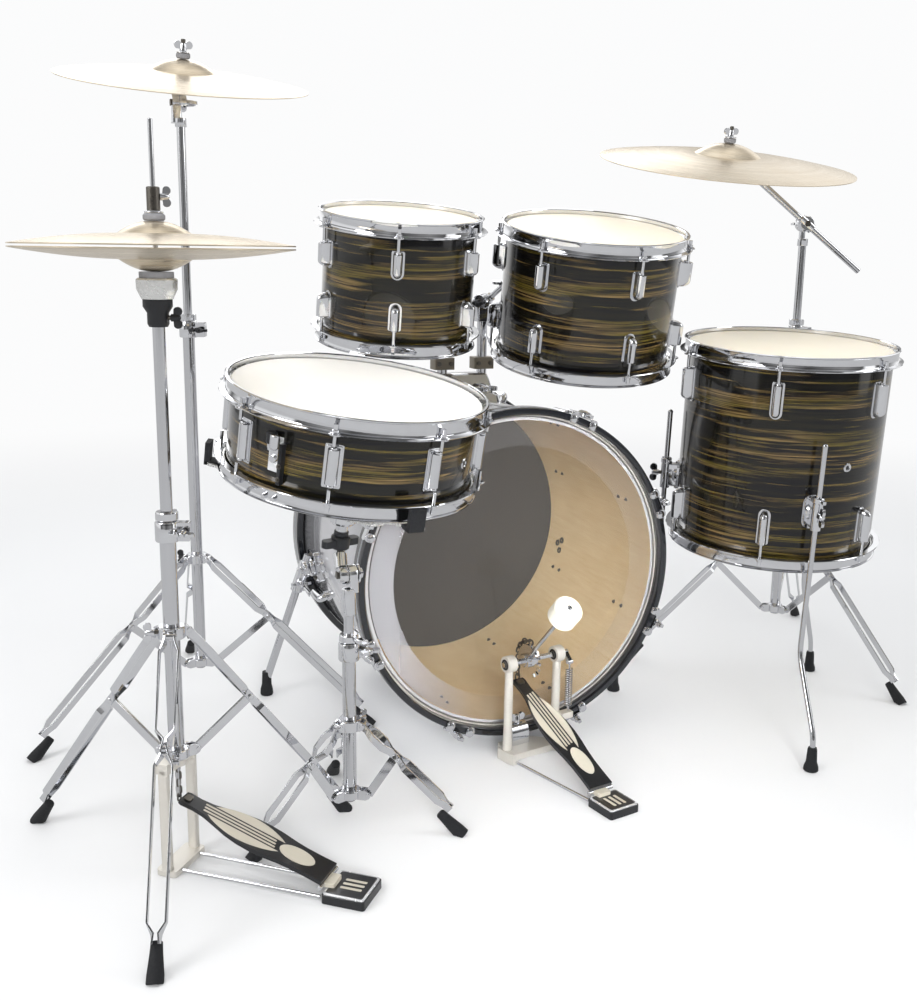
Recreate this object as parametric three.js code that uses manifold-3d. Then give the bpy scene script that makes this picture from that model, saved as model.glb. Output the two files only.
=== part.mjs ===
// Acoustic drum kit: bass drum with two rack toms, floor tom, snare drum on its stand, hi-hat,
// crash and ride cymbals on their stands, and a bass drum pedal.
// Millimetres, +Z up, +Y away from the player, +X to the player's right hand.
// The layout is written from the point on the floor under the bass drum's batter hoop, and the
// whole kit is then moved so that the middle of its footprint stands on the origin.

import * as THREE from 'three';
import { mergeVertices } from 'three/addons/utils/BufferGeometryUtils.js';
import Module from 'manifold-3d';

const wasm = await Module();
wasm.setup();

const GAP = 0.3;                 // clearance between pieces that touch on the real kit
const UP = new THREE.Vector3(0, 0, 1);
const DEGREE = Math.PI / 180;

const ROUND = { bass: 30, drum: 18, tube: 9, rod: 6, cymbal: 20 };

// ---------------------------------------------------------------- materials

function finish(color, roughness, metalness) {
  return new THREE.MeshStandardMaterial({ color, roughness, metalness });
}

const CHROME = finish(0xd6d6d8, 0.15, 1.0);
const CAST = finish(0xb9b6ae, 0.4, 0.9);
const WRAP = finish(0x15140f, 0.2, 0.0);
const GREY_WRAP = finish(0xa9a9ab, 0.25, 0.0);
const BLACK = finish(0x0c0d10, 0.35, 0.0);
const FILM = finish(0xe9e2cc, 0.45, 0.0);
const WHITE_FILM = finish(0xf3f0e8, 0.6, 0.0);
const CLEAR_FILM = finish(0xd9cba6, 0.2, 0.0);
const DARK_FILM = finish(0x3a3a3f, 0.35, 0.0);
const BRONZE = finish(0xd8cfae, 0.25, 1.0);
const STEEL = finish(0x8f8a80, 0.35, 1.0);

// ---------------------------------------------------------------- shapes

function vec([x, y, z]) {
  return new THREE.Vector3(x, y, z);
}

// A closed surface with shared corners and no empty triangles.
function sealed(geometry) {
  const plain = geometry.index ? geometry.clone() : geometry;
  plain.deleteAttribute('normal');
  plain.deleteAttribute('uv');
  const merged = mergeVertices(plain, 1e-4);
  const corners = merged.index.array;
  const kept = [];
  for (let i = 0; i < corners.length; i += 3) {
    const [a, b, c] = [corners[i], corners[i + 1], corners[i + 2]];
    if (a !== b && b !== c && c !== a) kept.push(a, b, c);
  }
  merged.setIndex(kept);
  return merged;
}

function toSolid(geometry) {
  const merged = sealed(geometry);
  return new wasm.Manifold(new wasm.Mesh({
    numProp: 3,
    vertProperties: new Float32Array(merged.attributes.position.array),
    triVerts: new Uint32Array(merged.index.array),
  }));
}

function fromSolid(solid) {
  const mesh = solid.getMesh();
  const geometry = new THREE.BufferGeometry();
  geometry.setAttribute('position', new THREE.BufferAttribute(mesh.vertProperties, 3));
  geometry.setIndex(new THREE.BufferAttribute(mesh.triVerts, 1));
  return geometry;
}

function join(...pieces) {
  return fromSolid(pieces.flat().map(toSolid).reduce((whole, piece) => whole.add(piece)));
}

function cut(body, ...tools) {
  return fromSolid(tools.flat().map(toSolid).reduce((left, tool) => left.subtract(tool), toSolid(body)));
}

// A straight round bar between two points.
function bar(from, to, radius, sides = ROUND.rod, endRadius = radius) {
  const start = vec(from);
  const along = vec(to).sub(start);
  const geometry = new THREE.CylinderGeometry(endRadius, radius, along.length(), sides);
  geometry.rotateX(Math.PI / 2).translate(0, 0, along.length() / 2);
  geometry.applyQuaternion(new THREE.Quaternion().setFromUnitVectors(UP, along.normalize()));
  return geometry.translate(start.x, start.y, start.z);
}

// A block from its lowest to its highest corner.
function block(low, high) {
  const size = vec(high).sub(vec(low));
  const middle = vec(low).add(vec(high)).multiplyScalar(0.5);
  return new THREE.BoxGeometry(size.x, size.y, size.z).translate(middle.x, middle.y, middle.z);
}

// A flat strip between two points: `width` is level, `thickness` is square to both.
function strip(from, to, width, thickness) {
  const along = vec(to).sub(vec(from));
  const side = new THREE.Vector3().crossVectors(UP, along).normalize();
  const face = new THREE.Vector3().crossVectors(along, side).normalize();
  const basis = new THREE.Matrix4().makeBasis(along.clone().normalize(), side, face);
  const middle = vec(from).add(vec(to)).multiplyScalar(0.5);
  basis.setPosition(middle);
  return new THREE.BoxGeometry(along.length(), width, thickness).applyMatrix4(basis);
}

// A solid of revolution about Z from [radius, height] points, anticlockwise; a ring closes itself.
function turned(profile, sides) {
  const points = profile.map(([r, z]) => new THREE.Vector2(r, z));
  const isRing = profile.every(([r]) => r > 0);
  if (isRing) points.push(points[0].clone());
  return new THREE.LatheGeometry(points, sides).rotateX(Math.PI / 2);
}

function ring(inner, outer, low, high, sides) {
  return turned([[inner, low], [outer, low], [outer, high], [inner, high]], sides);
}

function disc(radius, low, high, sides) {
  return turned([[0, low], [radius, low], [radius, high], [0, high]], sides);
}

function plate(outline, thickness) {
  const shape = new THREE.Shape(outline.map(([x, y]) => new THREE.Vector2(x, y)));
  return new THREE.ExtrudeGeometry(shape, { depth: thickness, bevelEnabled: false });
}

// The same shape turned about Z to an angle in degrees.
function around(geometry, degrees) {
  return geometry.clone().rotateZ(degrees * DEGREE);
}

function polar(radius, degrees, z = 0) {
  return [radius * Math.cos(degrees * DEGREE), radius * Math.sin(degrees * DEGREE), z];
}

function piece(name, geometry, material) {
  const mesh = new THREE.Mesh(geometry, material);
  mesh.name = name;
  return mesh;
}

function grouped(position, quaternion, ...children) {
  const group = new THREE.Group();
  group.position.set(...position);
  if (quaternion) group.quaternion.copy(quaternion);
  group.add(...children.flat());
  group.updateMatrixWorld(true);
  return group;
}

function tiltedTo(axis) {
  return new THREE.Quaternion().setFromUnitVectors(UP, vec(axis).normalize());
}

function yawed(degrees) {
  return new THREE.Quaternion().setFromAxisAngle(UP, degrees * DEGREE);
}

// ---------------------------------------------------------------- drums with pressed steel hoops

const PLY = 6;                   // shell wall
const RIM = 9;                   // how far the rim stands out from the shell
const HEAD = { lip: 7, film: 1, collar: 12, clear: 0.6, bead: 4.4 };
const HOOP = { wall: 4.8, height: 24, flange: 2.5, reach: 17 };
const ROD = { offset: 12, width: 5, start: 16 };

function hoopShape(drum) {
  const r = drum.shell;
  const flangeTop = -HOOP.height + HOOP.flange;
  const rim = turned([
    [r + HOOP.wall, -HOOP.height], [r + HOOP.reach, -HOOP.height], [r + HOOP.reach, flangeTop],
    [r + RIM, flangeTop], [r + RIM, 0], [r + HOOP.wall, 0],
  ], ROUND.drum);
  const half = ROD.width / 2;
  const rod = block([r + ROD.offset - half, -half, -drum.lugTop + GAP],
    [r + ROD.offset + half, half, -ROD.start]);
  const rods = lugAngles(drum).map((angle) => around(rod, angle));
  return join(rim, rods);
}

function headShape(drum) {
  const r = drum.shell;
  const top = -HEAD.lip;
  return turned([
    [0, top - HEAD.film], [r + HEAD.clear, top - HEAD.film], [r + HEAD.clear, top - HEAD.collar],
    [r + HEAD.bead, top - HEAD.collar], [r + HEAD.bead, top], [0, top],
  ], ROUND.drum);
}

function lugAngles(drum) {
  return Array.from({ length: drum.lugs }, (_, i) => drum.firstLug + (360 / drum.lugs) * i);
}

// A hoop or head for the lower end of a drum is the upper one turned over.
function lowerEnd(geometry, drum) {
  const flip = new THREE.Matrix4().makeScale(1, 1, -1);
  const turnedOver = geometry.clone().applyMatrix4(flip).translate(0, 0, -drum.depth);
  const corners = turnedOver.index.array;
  for (let i = 0; i < corners.length; i += 3) {
    [corners[i + 1], corners[i + 2]] = [corners[i + 2], corners[i + 1]];
  }
  return turnedOver;
}

function lugShape(drum, low, high) {
  const half = drum.lugWidth / 2;
  return block([drum.shell - PLY / 2, -half, low], [drum.shell + drum.lugDepth, half, high]);
}

function lugShapes(drum) {
  if (drum.tubeLugs) return [lugShape(drum, -drum.depth + drum.lugTop, -drum.lugTop)];
  const reach = drum.lugTop + drum.lugLength;
  return [
    lugShape(drum, -reach, -drum.lugTop),
    lugShape(drum, -drum.depth + drum.lugTop, -drum.depth + reach),
  ];
}

function shellShape(drum, extras) {
  const end = HEAD.lip + HEAD.film + GAP;
  const tube = ring(drum.shell - PLY, drum.shell, -drum.depth + end, -end, ROUND.drum);
  const lugs = lugAngles(drum).flatMap((angle) => lugShapes(drum).map((lug) => around(lug, angle)));
  return join(tube, lugs, extras);
}

function drumGroup(drum, extras = [], holes = []) {
  const hoop = hoopShape(drum);
  const head = sealed(headShape(drum));
  let shell = shellShape(drum, extras);
  if (holes.length) shell = cut(shell, holes);
  return grouped(drum.rim, tiltedTo(drum.axis),
    piece(`${drum.name}_shell`, shell, WRAP),
    piece(`${drum.name}_batter_hoop`, hoop, CHROME),
    piece(`${drum.name}_batter_head`, head, drum.tubeLugs ? WHITE_FILM : FILM),
    piece(`${drum.name}_bottom_hoop`, lowerEnd(hoop, drum), CHROME),
    piece(`${drum.name}_bottom_head`, lowerEnd(head, drum), FILM));
}

function toWorld(group, point) {
  return group.localToWorld(vec(point)).toArray();
}

// ---------------------------------------------------------------- bass drum, 22 x 16 inch

const BASS = {
  height: 316, hoop: 293, hoopWall: 12, hoopDepth: 38, shell: 277, ply: 7, depth: 448,
  lugs: 8, firstLug: 22.5, lugLength: 60, lugWidth: 22, lugDepth: 14,
};
const BASS_HEAD = { set: 18.7, film: 2, clear: 0.4, bead: 3.6, collar: 11 };
const CLAW = { width: 20, thick: 4, reach: 16, lip: 10 };
const SPUR = { height: 261, along: 363, tip: [364, 394], rod: 8, foot: 12, footHeight: 34, socket: 30 };
const MOUNT = { along: 285, spread: 40, base: 52, post: 9.5, pivot: 770, knuckle: 17, half: 12 };

function bassHoop() {
  const inner = BASS.hoop - BASS.hoopWall;
  const wood = ring(inner, BASS.hoop, 0, BASS.hoopDepth, ROUND.bass);
  const half = CLAW.width / 2;
  const claw = block([inner + 2, -half, -CLAW.thick], [BASS.hoop + CLAW.thick, half, CLAW.lip]);
  const strap = block([BASS.hoop - 2, -half, -CLAW.thick], [BASS.hoop + CLAW.thick, half, CLAW.reach]);
  const rod = block([BASS.hoop, -3, CLAW.reach - 2], [BASS.hoop + 6, 3, BASS.hoopDepth + 26]);
  const claws = join(claw, strap, rod);
  return join(wood, bassAngles().map((angle) => around(claws, angle)));
}

function bassAngles() {
  return Array.from({ length: BASS.lugs }, (_, i) => BASS.firstLug + (360 / BASS.lugs) * i);
}

function bassHead() {
  const r = BASS.shell;
  const back = BASS_HEAD.set + BASS_HEAD.film;
  return turned([
    [0, BASS_HEAD.set], [r + BASS_HEAD.bead, BASS_HEAD.set],
    [r + BASS_HEAD.bead, BASS_HEAD.set + BASS_HEAD.collar],
    [r + BASS_HEAD.clear, BASS_HEAD.set + BASS_HEAD.collar], [r + BASS_HEAD.clear, back], [0, back],
  ], ROUND.bass);
}

function bassShell() {
  const end = BASS_HEAD.set + BASS_HEAD.film + GAP;
  const tube = ring(BASS.shell - BASS.ply, BASS.shell, end, BASS.depth - end, ROUND.bass);
  const half = BASS.lugWidth / 2;
  const start = BASS.hoopDepth + 26 + GAP;
  const lug = block([BASS.shell - 3, -half, start],
    [BASS.shell + BASS.lugDepth, half, start + BASS.lugLength]);
  const farLug = block([BASS.shell - 3, -half, BASS.depth - start - BASS.lugLength],
    [BASS.shell + BASS.lugDepth, half, BASS.depth - start]);
  const lugs = bassAngles().flatMap((angle) => [around(lug, angle), around(farLug, angle)]);
  return join(tube, lugs);
}

// Shapes turned about Z are laid down so that their axis points along +Y.
function laidDown(geometry) {
  return geometry.rotateX(-Math.PI / 2);
}

// The front half mirrors the batter half across the middle of the drum.
function frontHalf(geometry) {
  return geometry.clone().rotateZ(Math.PI).translate(0, BASS.depth, 0);
}

// A spur hangs from a disc on the shell and turns about the line from the drum's axis.
function spurPivot(side) {
  const rise = SPUR.height - BASS.height;
  const out = new THREE.Vector3(-side * Math.sqrt(1 - (rise / BASS.hoop) ** 2), 0, rise / BASS.hoop);
  const at = (radius) => [out.x * radius, SPUR.along, BASS.height + out.z * radius];
  return { shellSide: at(BASS.shell - 3), seat: at(BASS.shell + 12), pivot: at(BASS.shell + 22),
    face: at(BASS.shell + 12 + GAP) };
}

function spur(side) {
  const { pivot, face } = spurPivot(side);
  const [x, y] = [-side * SPUR.tip[0], SPUR.tip[1]];
  const foot = bar([x, y, 0], [x, y, SPUR.footHeight], SPUR.foot, ROUND.tube, SPUR.rod + 1);
  const leg = bar([x, y, SPUR.footHeight - 10], pivot, SPUR.rod, ROUND.rod);
  const knuckle = bar(face, pivot, SPUR.socket / 2 + 2, ROUND.tube);
  return join(foot, leg, knuckle);
}

function spurSeat(side) {
  const { shellSide, seat } = spurPivot(side);
  return bar(shellSide, seat, SPUR.socket / 2 + 4, ROUND.tube);
}

// Two posts on a shared base carry the rack toms; each post ends in half of a toothed tilter.
function tomMount() {
  const shellTop = BASS.height + BASS.shell;
  const { along, spread, pivot, post, base } = MOUNT;
  const foot = block([-base - 18, along - 34, shellTop - 20], [base + 18, along + 34, shellTop + 6]);
  const body = block([-base, along - 24, shellTop], [base, along + 24, shellTop + 46]);
  const drumTop = bar([0, along - 60, BASS.height], [0, along + 60, BASS.height], BASS.shell + 1, 72);
  const saddle = cut(join(foot, body), drumTop);
  const posts = TOMS.map((tom) => {
    const x = tom.side * spread;
    const tube = bar([x, along, shellTop + 30], [x, along, pivot - 22], post, ROUND.tube);
    const lock = block([x - 19, along - 15, shellTop + 56], [x + 19, along + 15, shellTop + 74]);
    return [tube, lock, tilterHalf(tom, -1), tilterNeck(tom)];
  });
  return join(saddle, posts.flat());
}

// The tilter's hinge line is level and square to the arm that runs from the post to the tom.
function tilter(tom) {
  const centre = [tom.side * MOUNT.spread, MOUNT.along, MOUNT.pivot];
  const reach = vec(tom.bracketFace).sub(vec(centre));
  const hinge = new THREE.Vector3().crossVectors(UP, reach).normalize();
  return { centre: vec(centre), reach, hinge };
}

function tilterHalf(tom, sign) {
  const { centre, hinge } = tilter(tom);
  const near = centre.clone().addScaledVector(hinge, sign * GAP);
  const far = centre.clone().addScaledVector(hinge, sign * (GAP + MOUNT.half));
  return bar(near.toArray(), far.toArray(), MOUNT.knuckle, ROUND.tube);
}

function tilterNeck(tom) {
  const { centre, hinge } = tilter(tom);
  const middle = centre.clone().addScaledVector(hinge, -(GAP + MOUNT.half / 2));
  const [x, y, z] = middle.toArray();
  return bar([x, y, z - 34], [x, y, z], MOUNT.half / 2 - 0.2, 6);
}

function tomArm(tom) {
  const { centre, reach, hinge } = tilter(tom);
  const shift = hinge.clone().multiplyScalar(GAP + MOUNT.half / 2);
  const end = vec(tom.bracketFace).addScaledVector(reach.clone().normalize(), -6).add(shift);
  return join(tilterHalf(tom, 1), bar(centre.clone().add(shift).toArray(), end.toArray(), 5.5, 6));
}

// ---------------------------------------------------------------- rack toms, 10 x 8 and 12 x 9 inch

const TOMS = [
  { name: 'tom1', side: -1, rim: [-181, 112, 927], axis: [0, -0.167, 0.986], shell: 127, depth: 215,
    lugs: 6, firstLug: -109, lugTop: 45, lugLength: 48, lugWidth: 18, lugDepth: 15, bracket: 46 },
  { name: 'tom2', side: 1, rim: [158, 70, 910], axis: [-0.0205, -0.205, 0.9785], shell: 152.5, depth: 240,
    lugs: 6, firstLug: -88.6, lugTop: 45, lugLength: 52, lugWidth: 18, lugDepth: 15, bracket: 122 },
];
const BRACKET = { width: 36, depth: 20, height: 60 };

function tomBracket(tom) {
  const middle = -tom.depth / 2 - 8;
  const shape = block([tom.shell - 3, -BRACKET.width / 2, middle - BRACKET.height / 2],
    [tom.shell + BRACKET.depth, BRACKET.width / 2, middle + BRACKET.height / 2]);
  return around(shape, tom.bracket);
}

function rackTom(tom) {
  const group = drumGroup(tom, [tomBracket(tom)]);
  tom.bracketFace = toWorld(group, polar(tom.shell + BRACKET.depth, tom.bracket, -tom.depth / 2 - 8));
  return group;
}

// ---------------------------------------------------------------- floor tom, 14 x 14 inch

const FLOOR_TOM = {
  name: 'floor_tom', rim: [509, -29, 715], axis: [-0.0148, -0.0738, 0.9972], shell: 177.8, depth: 375,
  lugs: 6, firstLug: -132, lugTop: 47, lugLength: 60, lugWidth: 20, lugDepth: 15,
};
const LEG = {
  offset: 24, rod: 4.75, hole: 5.6, top: -145, bend: -520, bracket: [-292, -238], width: 34, foot: 12,
  footHeight: 36,
};
const FLOOR_TOM_LEGS = [
  { name: 'floor_tom_leg_front', angle: -107, foot: [436, -262] },
  { name: 'floor_tom_leg_right', angle: 29, foot: [748, 133] },
  { name: 'floor_tom_leg_left', angle: 145, foot: [297, 177] },
];

function floorTom() {
  const r = FLOOR_TOM.shell;
  const [low, high] = LEG.bracket;
  const bracket = block([r - 3, -LEG.width / 2, low], [r + LEG.offset + 10, LEG.width / 2, high]);
  const hole = bar([r + LEG.offset, 0, low - 5], [r + LEG.offset, 0, high + 5], LEG.hole, ROUND.tube);
  const atLegs = (shape) => FLOOR_TOM_LEGS.map((leg) => around(shape, leg.angle));
  const group = drumGroup(FLOOR_TOM, atLegs(bracket), atLegs(hole));
  const legs = FLOOR_TOM_LEGS.map((leg) => {
    const top = toWorld(group, polar(r + LEG.offset, leg.angle, LEG.top));
    const bend = toWorld(group, polar(r + LEG.offset, leg.angle, LEG.bend));
    const [x, y] = leg.foot;
    const straight = bar(top, bend, LEG.rod, ROUND.rod);
    const slant = bar([x, y, LEG.footHeight - 8], bend, LEG.rod, ROUND.rod);
    const foot = bar([x, y, 0], [x, y, LEG.footHeight], LEG.foot, ROUND.tube, LEG.rod + 3);
    return piece(leg.name, join(straight, slant, foot), CHROME);
  });
  return [group, legs];
}

// ---------------------------------------------------------------- snare drum, 14 x 5 inch

const SNARE = {
  name: 'snare', rim: [-340, -163, 678], axis: [0.0791, -0.1526, 0.9851], shell: 177.8, depth: 138,
  lugs: 8, firstLug: -115, lugTop: 38, lugWidth: 26, lugDepth: 21, tubeLugs: true,
};
const STRAINER = { angle: -141, width: 20, depth: 16, low: -112, high: -46 };
const BASKET = { angles: [-78, 42, 162], hub: -190, rise: 20, reach: 198, arm: [20, 5], clear: 1.5 };

function snareDrum() {
  const r = SNARE.shell;
  const housing = (angle) => around(block([r - 3, -STRAINER.width / 2, STRAINER.low],
    [r + STRAINER.depth, STRAINER.width / 2, STRAINER.high]), angle);
  const group = drumGroup(SNARE, [housing(STRAINER.angle), housing(STRAINER.angle + 180)]);
  const lever = around(block([r + STRAINER.depth + GAP, 2, -78], [r + STRAINER.depth + 8, 16, -40]),
    STRAINER.angle);
  const wires = around(block([-150, -20, -1.5], [150, 20, 0]), STRAINER.angle + 180);
  wires.translate(0, 0, -SNARE.depth + HEAD.lip - GAP);
  group.add(piece('snare_lever', lever, CHROME), piece('snare_wires', wires, STEEL));
  group.add(piece('snare_basket', basketShape(group), CHROME));
  return group;
}

// Three arms lift the drum by its lower hoop; the short post below them ends in half a tilter.
function basketShape(group) {
  const bottom = -SNARE.depth - BASKET.clear;
  const [width, thick] = BASKET.arm;
  const arms = BASKET.angles.flatMap((angle) => {
    const arm = strip([14, 0, BASKET.hub + 8], [BASKET.reach + 3, 0, bottom - thick], width, thick);
    const hook = block([BASKET.reach, -width / 2, bottom - thick * 2],
      [BASKET.reach + 7, width / 2, bottom + BASKET.rise]);
    return [around(arm, angle), around(hook, angle)];
  });
  const hub = disc(19, BASKET.hub - 24, BASKET.hub + 16, ROUND.tube);
  const nut = disc(15, BASKET.hub - 66, BASKET.hub - 23, ROUND.tube);
  const { centre } = SNARE_STAND;
  const joint = group.worldToLocal(vec([centre[0] - 8, centre[1] + 8, SNARE_STAND.pivot])).toArray();
  const nutFoot = [0, 0, BASKET.hub - 58];
  const inner = group.worldToLocal(vec([centre[0] - GAP, centre[1] + 8, SNARE_STAND.pivot])).toArray();
  const outer = group.worldToLocal(vec([centre[0] - 15, centre[1] + 8, SNARE_STAND.pivot])).toArray();
  return join(arms, hub, nut, bar(joint, nutFoot, 6.5, ROUND.rod), bar(inner, outer, 15, ROUND.tube));
}

// ---------------------------------------------------------------- tripod stands

const TRIPOD = {
  wall: 2, strut: [3, 12], apart: 9, stay: [14, 3], stayAt: 0.42, collar: 24, sleeve: 22,
  foot: 13, footHeight: 34,
};
const SNARE_STAND = {
  name: 'snare_stand', centre: [-357, -160], legs: [-160, -33, 83], spread: 172, collar: 163, hub: 50,
  lower: 10.2, upper: 7.4, tubeTop: 292, pivot: 396,
};
const HIHAT_STAND = {
  name: 'hihat_stand', centre: [-618, -190], legs: [-105, 15, 133], spread: 272, collar: 350, hub: 171,
  lower: 11, upper: 8.2, tubeTop: 505, seat: 800,
};
const CRASH_STAND = {
  name: 'crash_stand', centre: [-496, 361], legs: [-33, 85, 202], spread: 330, collar: 301, hub: 99,
  lower: 10.4, upper: 7.6, tubeTop: 735, pivot: 1107,
};
const RIDE_STAND = {
  name: 'ride_stand', centre: [727, 235], legs: [-77, 43, 163], spread: 322, collar: 330, hub: 112,
  lower: 10.6, upper: 8, tubeTop: 722, pivot: 928,
};

// An open tube lets the hi-hat's pull rod through; the others are closed at their lower end.
function tripod(stand, extras = []) {
  const { collar, hub, lower, tubeTop } = stand;
  const bottom = hub - 10;
  const bore = lower - TRIPOD.wall;
  const tube = stand.open
    ? ring(bore, lower, bottom, tubeTop, ROUND.tube)
    : turned([[0, bottom], [lower, bottom], [lower, tubeTop], [bore, tubeTop], [bore, hub], [0, hub]],
      ROUND.tube);
  const inner = lower - TRIPOD.wall / 2;
  const rings = [
    ring(inner, TRIPOD.collar, collar - 9, collar + 9, ROUND.tube),
    ring(inner, TRIPOD.sleeve, hub - 8, hub + 8, ROUND.tube),
    ring(inner, lower + 6, tubeTop - 26, tubeTop, ROUND.tube),
  ];
  const legs = stand.legs.flatMap((angle) => legShapes(stand).map((shape) => around(shape, angle)));
  return piece(`${stand.name}_tripod`, join(tube, rings, legs, extras), CHROME);
}

// One leg along +X: two struts side by side, a rubber foot, and a stay from the hub.
function legShapes({ collar, hub, spread }) {
  const [thick, deep] = TRIPOD.strut;
  const top = [TRIPOD.collar - 8, collar];
  const end = [spread - 6, TRIPOD.footHeight - 8];
  const slope = (end[1] - top[1]) / (end[0] - top[0]);
  const pivotX = spread * TRIPOD.stayAt;
  const pivotZ = top[1] + slope * (pivotX - top[0]);
  const strut = (y) => strip([top[0], y, top[1]], [end[0], y, end[1]], thick, deep);
  const pin = block([pivotX - 4, -TRIPOD.apart - 2, pivotZ - 4], [pivotX + 4, TRIPOD.apart + 2, pivotZ + 4]);
  const stay = strip([TRIPOD.sleeve - 6, 0, hub], [pivotX, 0, pivotZ], ...TRIPOD.stay);
  const foot = bar([spread, 0, 0], [spread, 0, TRIPOD.footHeight], TRIPOD.foot, ROUND.tube, TRIPOD.apart + 2);
  return [strut(-TRIPOD.apart), strut(TRIPOD.apart), pin, stay, foot];
}

function standGroup(stand, ...children) {
  return grouped([...stand.centre, 0], null, children);
}

function snareStand() {
  const { upper, pivot, tubeTop } = SNARE_STAND;
  const tube = ring(upper - 2, upper, tubeTop - 90, pivot - 18, ROUND.tube);
  const knuckle = bar([GAP, 8, pivot], [15, 8, pivot], 15, ROUND.tube);
  const neck = block([3, -upper + 3, pivot - 20], [14, upper + 4, pivot - 4]);
  return standGroup(SNARE_STAND, tripod(SNARE_STAND),
    piece('snare_stand_tube', join(tube, knuckle, neck), CHROME));
}

// ---------------------------------------------------------------- cymbals

const CYMBAL = { thick: 1.6, bell: 0.26, bellRise: 0.085, bow: 0.075 };

// Bow and bell as one thin dish, edge at height 0, bell upward.
function cymbalShape(radius, hole) {
  const { thick, bell, bellRise, bow } = CYMBAL;
  const bellRadius = radius * bell;
  const crown = radius * bow;
  const peak = crown + radius * bellRise;
  const under = [
    [radius, 0], [radius * 0.62, crown * 0.6], [bellRadius, crown],
    [bellRadius * 0.6, peak * 0.96], [hole, peak],
  ];
  const over = under.map(([r, z]) => [r, z + thick]).reverse();
  return turned([...under.reverse(), ...over.reverse()], ROUND.cymbal);
}

const HIHAT = { radius: 178, edge: 867, gap: 2.6, hole: 7, rod: 3.4, top: 1022, toe: 101 };

function hihat() {
  const { radius, edge, gap, hole, rod, top } = HIHAT;
  const peak = radius * (CYMBAL.bow + CYMBAL.bellRise) + CYMBAL.thick;
  const upper = cymbalShape(radius, hole).translate(0, 0, edge);
  const lower = cymbalShape(radius, hole).rotateX(Math.PI).translate(0, 0, edge - gap);
  const seatTop = edge - gap - peak - GAP;
  const tube = ring(6.5, HIHAT_STAND.upper, HIHAT_STAND.tubeTop - 120, HIHAT_STAND.seat, ROUND.tube);
  const cup = turned([[5, 792], [21, 800], [26, seatTop - 8], [26, seatTop], [5, seatTop]], ROUND.cymbal / 2);
  const shaft = bar([0, 0, HIHAT.toe], [0, 0, top], rod, ROUND.rod);
  const above = edge + peak + GAP;
  const below = edge + peak - CYMBAL.thick - GAP;
  const clutch = [disc(13, above, above + 12, ROUND.tube), disc(8, above + 12, above + 44, ROUND.tube)];
  const nut = disc(5.5, below - 9, below, ROUND.tube);
  return standGroup(HIHAT_STAND,
    tripod({ ...HIHAT_STAND, open: true }, hihatFrame()),
    piece('hihat_tube', join(tube, cup), CHROME),
    piece('hihat_rod', join(shaft, clutch, nut), CHROME),
    piece('hihat_bottom_cymbal', lower, BRONZE),
    piece('hihat_top_cymbal', upper, BRONZE),
    grouped([0, 0, 0], yawed(HIHAT_PEDAL.yaw), pedalBoards(HIHAT_PEDAL)));
}

// The frame under the tube stands on two legs beside the pull rod, on a base plate.
function hihatFrame() {
  const parts = [
    block([-40, -16, 0], [40, 16, 9]),
    block([-40, -8, 4], [-30, 8, 166]), block([30, -8, 4], [40, 8, 166]),
    cut(block([-40, -10, 156], [40, 10, 170]), bar([0, 0, 150], [0, 0, 175], 9, ROUND.tube)),
  ];
  const rods = [-22, 22].map((x) => bar([x, -10, 5], [x, -HIHAT_PEDAL.hinge + 3, 5], 2.5, 6));
  return [...parts, ...rods].map((shape) => around(shape, HIHAT_PEDAL.yaw));
}

const STEM = { radius: 4, cup: 13, felt: 14, clear: 2.2 };

// A cymbal's stem along +Z, with washers and felts below and above the bell, from the tilter.
function stemShape(radius, stemLength) {
  const peak = radius * (CYMBAL.bow + CYMBAL.bellRise);
  const seat = peak - STEM.clear - CYMBAL.thick;
  const top = peak + CYMBAL.thick + STEM.clear;
  return [
    bar([0, 0, -stemLength], [0, 0, top + 26], STEM.radius, ROUND.rod),
    disc(STEM.cup, seat - 12, seat - 2, ROUND.tube),
    disc(STEM.felt, top, top + 11, ROUND.tube),
    disc(8, top + 11, top + 20, ROUND.tube),
  ];
}

const CRASH = { radius: 216, edge: [-484, 397, 1145], axis: [0.0092, -0.2244, 0.9744] };
const RIDE = { radius: 254, edge: [571, 294, 1040], axis: [-0.0261, -0.208, 0.9778] };
const DISC = { radius: 14, thick: 11 };
const BOOM = { direction: [-0.749, 0.233, 0.621], above: 150, below: 150, offset: 12, knuckle: 8 };

function placed(geometry, position, axis) {
  return geometry.applyQuaternion(tiltedTo(axis)).translate(...position);
}

// A cymbal and the tilter that carries it on a stem.
function cymbalGroup(name, cymbal, stemParts) {
  const dish = placed(cymbalShape(cymbal.radius, 7.5), cymbal.edge, cymbal.axis);
  return [piece(`${name}_tilter`, join(stemParts), CHROME), piece(`${name}_cymbal`, dish, BRONZE)];
}

function stemTo(cymbal, length) {
  const lowest = vec(cymbal.edge).addScaledVector(vec(cymbal.axis).normalize(), -length);
  const parts = stemShape(cymbal.radius, length).map((shape) => placed(shape, cymbal.edge, cymbal.axis));
  return { lowest, parts };
}

// One of two discs side by side on a level hinge line along X.
function hingeDisc([x, y, z], side) {
  const near = x + side * GAP;
  return bar([near, y, z], [near + side * DISC.thick, y, z], DISC.radius, ROUND.tube);
}

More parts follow.
